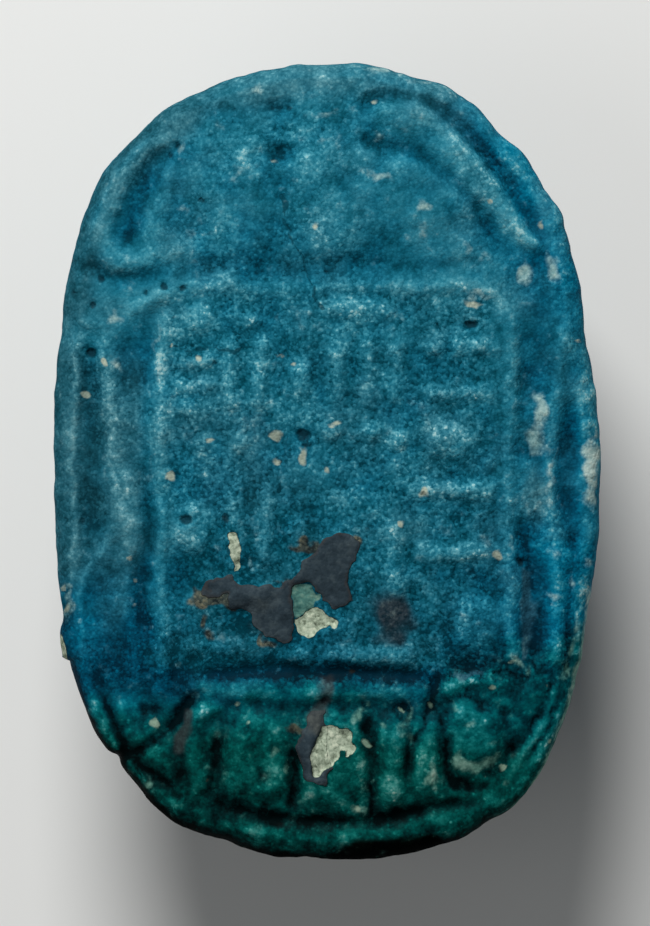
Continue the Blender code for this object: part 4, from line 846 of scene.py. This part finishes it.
def build_shell(maps):
    """The whole surface as points, their lifts and triangles. The face's points come first."""
    shell = Shell()
    out, turn, edge, quads = disc_grid(FACE_GRID)
    flat = OVAL + out[:, None] * (oval_ring(turn, FACE_INSET) - OVAL)
    x, y = flat.T
    lift = sample(maps["height"], x, y)
    pillow = HEIGHT - FACE_CROWN * oval_radius(x, y, FACE_INSET) ** FACE_POWER
    last = shell.add(np.column_stack([flat, pillow + lift]), lift)
    shell.fill(last, quads)
    last = last[edge]

    turns = ring_turns(4 * FACE_GRID)
    for step in range(1, EDGE_RINGS + 1):
        inset, depth = edge_profile(step / EDGE_RINGS)
        lift = sample(maps["height"], *oval_ring(turns, inset).T)
        ring = oval_ring(turns, inset, 0.7 * lift * smooth(depth) * smooth((4.5 - depth) / 2.0))
        height = HEIGHT - FACE_CROWN - depth + lift * smooth(1.0 - depth / 2.5)
        numbers = shell.add(np.column_stack([ring, height]))
        shell.bridge(last, numbers)
        last = numbers

    turns = ring_turns(4 * BACK_GRID)
    legs = beetle_legs()
    for step in range(1, FLANK_RINGS):
        down = step / FLANK_RINGS
        inset = FLANK_INSET + (BACK_INSET - FLANK_INSET) * down**2
        depth = np.full(len(turns), FLANK_DEPTH * down)
        swell = LEG_HEIGHT * relief(legs, oval_ring(turns, inset)[:, 1], depth)
        points = np.column_stack([oval_ring(turns, inset, swell), LEDGE_Z - depth])
        numbers = shell.add(points, swell - LEG_HEIGHT / 2)
        shell.bridge(last, numbers)
        last = numbers

    out, turn, edge, quads = disc_grid(BACK_GRID)
    flat = OVAL + out[:, None] * (oval_ring(turn, BACK_INSET) - OVAL)
    x, y = flat.T
    radius = np.clip(oval_radius(x, y, BACK_INSET), 0.0, 1.0)
    fade = np.clip((1.0 - radius) / 0.08, 0.0, 1.0)
    dome = BACK_Z - (BACK_Z + CROWN_CUT) * (1.0 - radius**BACK_POWER)
    lift = fade * relief(beetle_back(), x, y)
    under = shell.add(np.column_stack([flat, np.maximum(np.maximum(dome, 0.0) - lift, 0.0)]), lift)
    shell.fill(under, quads, down=True)
    shell.bridge(last, under[edge])
    points, triangles = np.vstack(shell.points), np.vstack(shell.triangles)
    return unevened(points, triangles), np.concatenate(shell.lifts), triangles


def unevened(points, triangles):
    """The points with the small unevenness of a hand-finished surface, except on the face and the
    flat spot that the part rests on."""
    corners = points[triangles]
    facing = np.cross(corners[:, 1] - corners[:, 0], corners[:, 2] - corners[:, 0])
    normals = np.zeros_like(points)
    for corner in range(3):
        for axis in range(3):
            normals[:, axis] += np.bincount(triangles[:, corner], facing[:, axis], len(points))
    normals /= np.linalg.norm(normals, axis=1, keepdims=True)
    rough = 0.1 * scatter_noise(points, 2.6, 5) + 0.05 * scatter_noise(points, 1.0, 6)
    below = smooth(HEIGHT - FACE_CROWN - points[:, 2]) * (np.arange(len(points)) >= (FACE_GRID + 1) ** 2)
    return points + normals * (rough * below * smooth(points[:, 2] / 0.4))[:, None]


def green_and_deep(x, y, clouds, blotches, fine):
    """How far the glaze turns to pooled green towards the foot, and how dark the green is there."""
    start = 2.2 * smooth((x - 6.0) / 1.5) + 1.2 * smooth((x - 13.8) / 1.2) - 0.6 * smooth((-8.0 - x) / 1.5)
    green = smooth(0.5 + (start - 13.6 - y + 0.9 * clouds + 0.8 * blotches + 0.5 * fine) / 3.2)
    bar = near(y, -13.7, 0.7, 1.4) * span(x, *BAR_ENDS, 0.8, 0.8)
    return np.maximum(green, 0.55 * bar), smooth((-14.6 - y + 1.6 * clouds + 0.9 * blotches) / 3.4)


def glassy_and_grey(x, y, rim, hollow, clouds, blotches):
    """How glassy the glaze is, in hollows and low down, and how far it is dulled to grey."""
    low = smooth((-y - 4.0 + 2.0 * clouds) / 7.0) * smooth((np.abs(x + 1.0) - 6.0 + 1.5 * blotches) / 4.0)
    low_on_side = smooth((-4.5 - y) / 2.0)
    glassy = 0.1 + 0.25 * clouds - 1.4 * hollow + 0.7 * low + 0.9 * smooth(-12.0 - y)
    glassy += 0.15 * smooth((y - 9.5) / 4.0) + 0.5 * smooth((x - 10.0) / 3.0)
    glassy += 0.5 * rim * smooth((x - 6.0) / 3.0) * smooth((y - 9.0) / 3.0)
    glassy += 0.6 * patch(x, y, 14.7, -1.0, 0.7, 4.0) + 1.2 * smooth((x - 12.6) / 0.5) * low_on_side
    glassy += 0.8 * smooth((-10.5 - x) / 1.5) * smooth((-8.5 - y) / 2.0)

    grey = 0.9 * rim * smooth((y + 9.0) / 6.0) * smooth((12.0 - x) / 8.0)
    grey += (1.0 - low) * (0.3 * blotches + 0.2 * clouds)
    grey += 0.7 * smooth(-10.6 - x) * span(y, -8.5, 7.5, 3.0, 3.0)
    grey += 0.15 * span(x, -9.0, 9.0, 2.0, 2.0) * span(y, -6.0, 6.0, 2.0, 2.0)
    grey += 0.7 * patch(x, y, 12.5, -2.0, 0.9, 2.2) + 0.4 * patch(x, y, -12.8, -7.8, 1.2, 2.0, 1.4)
    grey = np.clip(grey * smooth((y + 12.0) / 1.5), 0.0, 1.0) - smooth((x - 12.9) / 0.6) * low_on_side
    return np.clip(glassy, 0.0, 1.4), grey


def light_on_rim(x, y):
    """Painted light on the rim: how much paler the rim is than the face, most of all on the right, with
    painted shade on the left.
    """
    left = smooth((-x - 5.0) / 5.0)
    lit = 0.16 * smooth((x - 8.0) / 5.0) - left * (0.04 + 0.06 * smooth((y - 4.0) / 4.0))
    return lit + 0.15 * smooth((x - 13.5) / 1.5) * span(y, -3.5, 8.0, 1.5, 2.0)


def finish_of(points, lift, maps):
    """The measures of the finish at every point, which the material reads as attributes."""
    x, y, z = points.T
    on_face = np.arange(len(points)) < (FACE_GRID + 1) ** 2
    noises = [scatter_noise(points, size, seed) for size, seed in ((6.0, 1), (2.2, 2), (0.9, 3))]
    clouds, blotches, fine = noises
    depth = np.where(on_face, 0.0, HEIGHT - FACE_CROWN - z)
    inset = (1.0 - oval_radius(x, y)) * MEAN_RADIUS
    far_down = smooth((depth - 1.7) / 1.4)
    rim = np.where(on_face, smooth(1.0 - (inset - 0.9) / 1.3), near(depth, 0.6, 1.6, 1.0))

    tone = sample(maps["tone"], x, y)
    plain_tone = 0.5 + 0.07 * clouds + 0.09 * blotches + 0.08 * fine + 0.18 * np.clip(lift, -0.6, 1.0)
    tone += (plain_tone - tone) * smooth((depth - 0.4) / 1.2) + rim * (light_on_rim(x, y) + 0.06 * blotches)
    # Painted shade on the rounded edge towards the foot, which faces away from the light; less of it on the
    # right and far down the side.
    shaded = smooth((-11.5 - y + blotches) / 1.5) * (1.0 - 0.8 * smooth((x - 9.0) / 2.0))
    tone -= (0.33 - 0.24 * far_down) * smooth((depth - 0.15) / 0.5) * shaded
    # The rim's lower right edge is rubbed to a pale line.
    edge_line = near(depth, 1.3, 0.7, 1.4) * smooth((x - 7.0) / 3.0) * ~on_face
    edge_line *= span(y, -22.0, -6.5, 1.5, 2.0)
    tone += (0.16 + 0.12 * blotches) * edge_line

    green, deep = green_and_deep(x, y, *noises)
    hollow = sample(blur(maps["height"], 0.3) - blur(maps["height"], 2.2), x, y) * on_face
    glassy, grey = glassy_and_grey(x, y, rim, hollow, clouds, blotches)
    # Painted shade: the foot's edge is painted dark, the more so left of the middle.
    below = 0.5 + 0.75 * span(x, -0.5, 9.0, 2.5, 3.0) - 1.4 * smooth((x - 6.0) / 2.5)
    under = smooth((below - inset * 1.15 + 0.2 * blotches + 0.1 * fine) / 0.35)
    under *= smooth((-17.0 - y + 0.8 * blotches) / 2.0)
    under = np.maximum(under, smooth(depth - 2.0) * smooth((-16.0 - y + 0.8 * blotches) / 3.0))
    stain = smooth(1.2 - np.hypot(x - 3.9, y + 9.3) / 1.3 + 0.7 * fine + 0.4 * blotches) * on_face
    measures = {"tone": tone, "green": green, "deep": deep, "glassy": glassy, "grey": grey, "stain": stain}
    measures["under"] = under * (1.0 - 0.75 * far_down)

    near_face = smooth((2.3 - depth + 0.5 * fine + 0.3 * blotches) / 1.5)
    for name in ("crust", "bare", "thin", "pit", "white", "cream", "rust", "film", "veil"):
        measures[name] = np.where(near_face > 0, sample(maps[name], x, y) - (1 - near_face), -9.0)
    for flake_x, flake_y, half_x, half_y in FLAKES:
        away = np.hypot((x - flake_x + 0.22 * (y - flake_y)) / half_x, (y - flake_y) / half_y)
        flake = 0.4 * (1.0 - np.hypot(away, (depth - 0.9) / 1.8) + 0.3 * fine + 0.2 * blotches)
        measures["bare"] = np.maximum(measures["bare"], flake)
    beads = (0.36 + 0.4 * blotches + 0.2 * fine) * edge_line - 0.15
    measures["white"] = np.maximum(measures["white"], beads)
    measures["crack"] = sample(maps["crack"], x, y) * on_face
    measures["grainy"] = np.where(on_face, sample(maps["grainy"], x, y), 0.3)
    return measures


def make_piece():
    """The amulet as one mesh, riding on the frame in place of its solid."""
    maps = face_maps()
    points, lift, triangles = build_shell(maps)
    mesh = bpy.data.meshes.new("scarab_faience")
    mesh.vertices.add(len(points))
    mesh.vertices.foreach_set("co", (points * MM).astype(np.float32).ravel())
    mesh.loops.add(3 * len(triangles))
    mesh.loops.foreach_set("vertex_index", triangles.astype(np.int32).ravel())
    mesh.polygons.add(len(triangles))
    mesh.polygons.foreach_set("loop_start", np.arange(0, 3 * len(triangles), 3, dtype=np.int32))
    mesh.update(calc_edges=True)
    mesh.shade_smooth()
    for name, values in finish_of(points, lift, maps).items():
        mesh.attributes.new(name, "FLOAT", "POINT").data.foreach_set("value", values.astype(np.float32))
    piece = bpy.data.objects.new("scarab_faience", mesh)
    bpy.context.scene.collection.objects.link(piece)
    print("triangles", len(triangles))
    return piece


def linear(red, green, blue):
    """A colour given as on a screen, 0 to 255, as the light that it stands for."""
    share = np.array([red, green, blue]) / 255.0
    light = np.where(share <= 0.04045, share / 12.92, ((share + 0.055) / 1.055) ** 2.4)
    return (*light.tolist(), 1.0)


class Shader:
    """Short names for building a material out of nodes. A value is a number or another node's output."""

    def __init__(self, name):
        self.material = bpy.data.materials.new(name)
        self.material.use_nodes = True
        self.tree = self.material.node_tree
        self.surface = self.tree.nodes["Principled BSDF"]
        self.place = self.node("ShaderNodeTexCoord").outputs["Object"]

    def node(self, kind, **settings):
        made = self.tree.nodes.new(kind)
        for name, value in settings.items():
            setattr(made, name, value)
        return made

    def feed(self, socket, value):
        if isinstance(value, bpy.types.NodeSocket):
            self.tree.links.new(value, socket)
        else:
            socket.default_value = value

    def put(self, node, **values):
        """Feeds the node's inputs, which are named with _ for a space."""
        for name, value in values.items():
            self.feed(node.inputs[name.replace("_", " ")], value)
        return node

    def measure(self, name):
        return self.node("ShaderNodeAttribute", attribute_name=name).outputs["Fac"]

    def math(self, operation, *values):
        made = self.node("ShaderNodeMath", operation=operation)
        for socket, value in zip(made.inputs, values):
            self.feed(socket, value)
        return made.outputs[0]

    def times(self, first, second):
        return self.math("MULTIPLY", first, second)

    def add(self, *values):
        return functools.reduce(functools.partial(self.math, "ADD"), values)

    def largest(self, *values):
        return functools.reduce(functools.partial(self.math, "MAXIMUM"), values)

    def rise(self, value, start, end):
        """0 up to start and 1 from end on, with a soft ramp between them, or the other way round."""
        made = self.node("ShaderNodeMapRange", interpolation_type="SMOOTHSTEP")
        low, high, first, last = (start, end, 0.0, 1.0) if start < end else (end, start, 1.0, 0.0)
        self.put(made, Value=value, From_Min=low, From_Max=high, To_Min=first, To_Max=last)
        return made.outputs["Result"]

    def noise(self, size, shift=0.0):
        """Noise from about -1 to 1, with blobs of about size millimetres."""
        made = self.node("ShaderNodeTexNoise", noise_dimensions="4D")
        self.put(made, Vector=self.place, W=shift, Scale=0.5 / (size * MM))
        return self.times(self.math("SUBTRACT", made.outputs["Fac"], 0.5), 3.0)

    def cells(self, size):
        """Grains of about size millimetres: a random value for each, from -1 to 1, and its roundness."""
        made = self.put(self.node("ShaderNodeTexVoronoi"), Vector=self.place, Scale=1.0 / (size * MM))
        parts = self.put(self.node("ShaderNodeSeparateColor"), Color=made.outputs["Color"])
        value = self.times(self.math("SUBTRACT", parts.outputs["Red"], 0.5), 2.0)
        return value, self.math("SUBTRACT", 0.6, made.outputs["Distance"])

    def ramp(self, value, stops, *colours):
        """A colour for each value, through the colours at its stops, which are given as on a screen."""
        made = self.put(self.node("ShaderNodeValToRGB"), Fac=value)
        points = made.color_ramp.elements
        while len(points) < len(stops):
            points.new(1.0)
        for point, stop, colour in zip(points, stops, colours):
            point.position = stop
            point.color = linear(*colour)
        return made.outputs["Color"]

    def mix(self, share, first, second, kind="RGBA"):
        made = self.node("ShaderNodeMix", data_type=kind)
        return self.put(made, Factor=share, A=first, B=second).outputs["Result"]

    def mix_value(self, share, first, second):
        return self.mix(share, first, second, "FLOAT")


class Faience(Shader):
    """The material with the noises, grains and measures that its parts share."""

    def __init__(self, name):
        super().__init__(name)
        self.speckle, self.grit = self.noise(0.14, 1.0), self.noise(0.32, 2.0)
        self.mottle, self.cloud = self.noise(0.9), self.noise(3.0)
        self.green, self.grainy = self.measure("green"), self.measure("grainy")
        self.grain_tone, self.grain_round = self.cells(0.17)
        self.fleck_tone, self.fleck_round = self.cells(0.34)
        self.glassy = self.add(self.measure("glassy"), self.times(self.noise(0.7, 3.0), 0.4))
        self.tone = self.grained(self.measure("tone"))
        # How far a mark's edge is frayed, in millimetres.
        self.ragged = self.noisy(speckle=0.03, grit=0.05)

    def grained(self, tone):
        """The tone with its grains, flecks, painted glints and mottles."""
        fleck = self.times(self.rise(self.fleck_tone, 0.65, 1.0), self.rise(self.fleck_round, 0.15, 0.5))
        # Glints: tiny specks of painted highlight for the glaze's sparkle.
        glint_tone, glint_round = self.cells(0.13)
        painted_glint = self.times(self.rise(glint_tone, 0.93, 0.99), self.rise(glint_round, 0.1, 0.5))
        green, grainy = self.green, self.grainy
        return self.add(
            tone,
            self.times(self.grain_tone, self.mix_value(grainy, 0.06, 0.17)),
            self.times(self.grain_round, self.mix_value(green, 0.14, 0.08)),
            self.times(fleck, self.mix_value(green, self.mix_value(grainy, 0.07, 0.16), 0.25)),
            self.times(painted_glint, self.mix_value(green, self.mix_value(grainy, 0.08, 0.17), 0.12)),
            -0.07,
            self.times(self.speckle, self.mix_value(grainy, 0.1, 0.3)),
            self.times(self.grit, self.mix_value(green, 0.13, 0.22)),
            self.times(self.mottle, self.mix_value(green, 0.08, 0.17)),
            self.times(self.cloud, 0.05),
        )

    def noisy(self, *values, **weights):
        """The sum of the values and of the shared noises, each times its weight."""
        noises = [self.times(getattr(self, name), weight) for name, weight in weights.items()]
        return self.add(*values, *noises)

    def mark(self, name, start, end, *values, **weights):
        """0 outside a mark and 1 inside it, with an edge broken up by the values and the noises."""
        return self.rise(self.noisy(self.measure(name), *values, **weights), start, end)


# The glaze's colours as on a screen, from the darkest tone to the palest, and the tones of their stops.
DRY_STOPS = (0.1, 0.32, 0.48, 0.62, 0.78, 0.9, 1.0)
POOL_STOPS = (0.1, 0.3, 0.46, 0.6, 0.76, 0.9, 1.0)
MATTE = (
    (0, 52, 64), (9, 78, 94), (21, 94, 112), (36, 110, 128), (60, 131, 146), (92, 156, 167), (138, 182, 184),
)
GLASS = (
    (0, 36, 52), (0, 65, 88), (0, 85, 111), (2, 103, 130), (26, 125, 149), (78, 154, 168), (134, 180, 184),
)
DULL = (
    (8, 50, 60), (22, 75, 88), (38, 92, 106), (55, 109, 121), (82, 133, 143), (116, 160, 165),
    (156, 184, 182),
)
POOLED = (
    (0, 9, 10), (0, 33, 33), (0, 56, 53), (0, 77, 72), (20, 106, 99), (70, 138, 130), (132, 168, 154),
)
TEAL = (
    (0, 17, 22), (0, 47, 55), (0, 71, 78), (0, 92, 96), (22, 118, 122), (74, 150, 154), (138, 180, 178),
)


def glaze_colour(s):
    """Matte granular blue glaze, dulled or glassy in places, that turns to pooled green glass."""
    grey = s.add(s.measure("grey"), s.times(s.noise(1.1, 4.0), 0.45))
    colour = s.mix(s.glassy, s.ramp(s.tone, DRY_STOPS, *MATTE), s.ramp(s.tone, DRY_STOPS, *GLASS))
    colour = s.mix(grey, colour, s.ramp(s.tone, DRY_STOPS, *DULL))
    pooled = s.mix(s.measure("deep"), s.ramp(s.tone, POOL_STOPS, *TEAL), s.ramp(s.tone, POOL_STOPS, *POOLED))
    colour = s.mix(s.green, colour, pooled)
    # Painted shade on the foot's edge, in dark brown-black.
    dark = s.ramp(s.tone, (0.3, 0.6, 0.9), (0, 3, 2), (5, 15, 11), (34, 34, 24))
    colour = s.mix(s.measure("under"), colour, dark)
    stained = s.ramp(s.tone, (0.3, 0.7), (22, 30, 36), (52, 44, 44))
    colour = s.mix(s.times(s.measure("stain"), 0.85), colour, stained)
    film = s.mark("film", 0.1, 0.7, grit=0.2, mottle=0.1)
    filmed = s.ramp(s.tone, (0.1, 0.4, 0.8), (26, 64, 80), (46, 90, 106), (84, 116, 126))
    return s.mix(s.times(film, 0.65), colour, filmed)


def mark_glaze(s, colour, pit, crack, white):
    """The glaze's colour with its pits, cracks, rubbed and sandy spots and rust."""
    colour = s.mix(s.times(pit, 0.8), colour, linear(12, 40, 50))
    colour = s.mix(s.times(crack, 0.75), colour, linear(4, 50, 62))
    stops = (0.1, 0.4, 0.65, 0.9)
    pale = s.mix(
        s.green,
        s.ramp(s.tone, stops, (60, 108, 114), (116, 154, 154), (152, 180, 174), (186, 202, 192)),
        s.ramp(s.tone, stops, (62, 114, 102), (98, 148, 132), (132, 172, 154), (176, 200, 180)),
    )
    colour = s.mix(s.times(white, s.mix_value(s.green, 0.85, 0.7)), colour, pale)
    cream = s.mark("cream", -0.05, 0.1, s.ragged)
    sandy = s.mix(
        s.green,
        s.ramp(s.tone, (0.0, 0.5, 0.8), (118, 132, 120), (146, 156, 140), (174, 182, 162)),
        s.ramp(s.tone, (0.0, 0.5, 0.8), (112, 142, 122), (146, 168, 146), (180, 196, 170)),
    )
    colour = s.mix(s.times(cream, s.mix_value(s.green, 0.9, 0.7)), colour, sandy)
    rust = s.mark("rust", -0.05, 0.15, grit=0.1)
    brown = s.ramp(s.noisy(s.tone, grit=0.2), (0.2, 0.5, 0.8), (36, 36, 32), (76, 76, 62), (118, 106, 76))
    return s.mix(s.times(rust, 0.85), colour, brown)


def lay_crust(s, colour, crust, bare):
    """The colour with thin greenish glaze, dark crust, its brown veil and the bare body over it."""
    greenish = s.ramp(
        s.noisy(0.5, speckle=0.25, grit=0.25),
        (0.2, 0.5, 0.85), (22, 62, 62), (72, 114, 106), (124, 150, 132),
    )
    colour = s.mix(s.mark("thin", 0.0, 0.08, s.ragged), colour, greenish)
    margin = s.mark("crust", 0.22, 0.0, grit=0.15, mottle=0.15)
    slate = s.ramp(
        s.noisy(0.5, grit=0.2, mottle=0.28, grain_tone=0.07),
        (0.1, 0.5, 0.9), (22, 32, 37), (43, 55, 62), (72, 84, 88),
    )
    colour = s.mix(crust, colour, s.mix(s.times(margin, 0.4), slate, linear(62, 56, 52)))
    veil = s.mark("veil", 0.05, 0.7, grit=0.2, mottle=0.25)
    veiled = s.ramp(s.tone, (0.2, 0.6, 0.9), (34, 38, 40), (58, 62, 61), (84, 88, 82))
    colour = s.mix(s.times(veil, 0.72), colour, veiled)
    body = s.ramp(
        s.noisy(0.55, speckle=0.5, grit=0.25, grain_tone=0.16),
        (0.1, 0.35, 0.6, 0.9), (66, 74, 62), (128, 140, 120), (158, 171, 150), (190, 198, 175),
    )
    return s.mix(bare, colour, body)


def roughness(s, crust, bare, white):
    shine = s.mix_value(s.green, s.mix_value(s.glassy, 0.85, 0.75), 0.7)
    shine = s.mix_value(crust, s.mix_value(s.measure("under"), shine, 1.0), 0.5)
    return s.mix_value(bare, s.mix_value(white, shine, 0.75), 0.9)


def grain_normal(s, pit, crack, crust, bare):
    """The bump of the grains, and of the edges of crust, body, pits and cracks, in millimetres."""
    smoothness = s.largest(s.green, s.times(crust, 0.7))
    height = s.add(
        s.times(s.grain_round, s.mix_value(smoothness, 0.018, 0.008)),
        s.times(s.fleck_round, s.mix_value(smoothness, 0.018, 0.015)),
        s.times(s.speckle, s.mix_value(smoothness, 0.012, 0.006)),
        s.times(s.grit, s.mix_value(smoothness, 0.03, 0.025)),
    )
    steps = s.add(s.times(crust, 0.05), s.times(bare, -0.07), s.times(pit, -0.06), s.times(crack, -0.04))
    bump = s.put(s.node("ShaderNodeBump"), Height=s.add(height, steps), Distance=MM)
    return bump.outputs["Normal"]


def faience():
    """Worn blue faience, pooled green at its foot, with crust and bare body."""
    s = Faience("faience")
    pit = s.mark("pit", 0.02, 0.2, grit=0.09, speckle=0.05)
    crack = s.mark("crack", 0.66, 0.9, speckle=0.1, mottle=0.12)
    white = s.mark("white", -0.08, 0.42, s.noisy(grit=0.2, mottle=0.12, grain_tone=0.03, speckle=0.08))
    bare, crust = s.mark("bare", 0.0, 0.05, s.ragged), s.mark("crust", 0.0, 0.05, s.ragged)
    glazed = s.math("SUBTRACT", 1.0, s.largest(crust, bare, white))
    s.put(
        s.surface,
        Base_Color=lay_crust(s, mark_glaze(s, glaze_colour(s), pit, crack, white), crust, bare),
        Roughness=roughness(s, crust, bare, white),
        Specular_IOR_Level=0.02,
        Coat_Weight=s.times(glazed, s.mix_value(s.green, s.times(s.glassy, 0.002), 0.002)),
        Coat_Roughness=0.22,
        Normal=grain_normal(s, pit, crack, crust, bare),
    )
    return s.material


def make_camera():
    """A long lens straight above the face. field is the picture's longer side at the aim's height."""
    camera = bpy.data.cameras.new("camera")
    distance, field = 0.4, 0.05598
    aim_x, aim_y, aim_z = -0.00009, -0.00009, 0.0158
    camera.sensor_width = 36.0
    camera.lens = camera.sensor_width * distance / field
    holder = bpy.data.objects.new("camera", camera)
    bpy.context.scene.collection.objects.link(holder)
    holder.location = (aim_x, aim_y, aim_z + distance)
    camera.clip_start = 0.01
    bpy.context.scene.camera = holder


def make_stage():
    """A pale floor, soft light from beyond the head, and a pale surround."""
    bpy.ops.mesh.primitive_plane_add(size=2.0, location=(0, 0, 0))
    floor = bpy.context.object
    floor.name = "floor"
    material = bpy.data.materials.new("floor")
    material.use_nodes = True
    material.node_tree.nodes["Principled BSDF"].inputs["Base Color"].default_value = (0.72, 0.72, 0.70, 1)
    material.node_tree.nodes["Principled BSDF"].inputs["Roughness"].default_value = 0.9
    floor.data.materials.append(material)

    def area(name, place, size, power):
        light = bpy.data.lights.new(name, "AREA")
        light.shape = "DISK"
        light.size, light.energy = size, power
        lamp = bpy.data.objects.new(name, light)
        bpy.context.scene.collection.objects.link(lamp)
        lamp.location = place
        lamp.rotation_euler = (-lamp.location).to_track_quat("-Z", "Y").to_euler()

    area("key", (-0.08, 0.35, 0.32), 0.22, 2.9)
    area("fill", (-0.35, -0.15, 0.4), 0.5, 0.5)
    world = bpy.data.worlds.new("surround")
    world.use_nodes = True
    world.node_tree.nodes["Background"].inputs["Color"].default_value = (0.8, 0.85, 0.9, 1)
    world.node_tree.nodes["Background"].inputs["Strength"].default_value = 0.12
    bpy.context.scene.world = world
    bpy.context.scene.view_settings.view_transform = "Standard"


scarab = make_piece()
scarab.data.materials.append(faience())
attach(scarab, "root")
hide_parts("scarab")
make_camera()
make_stage()
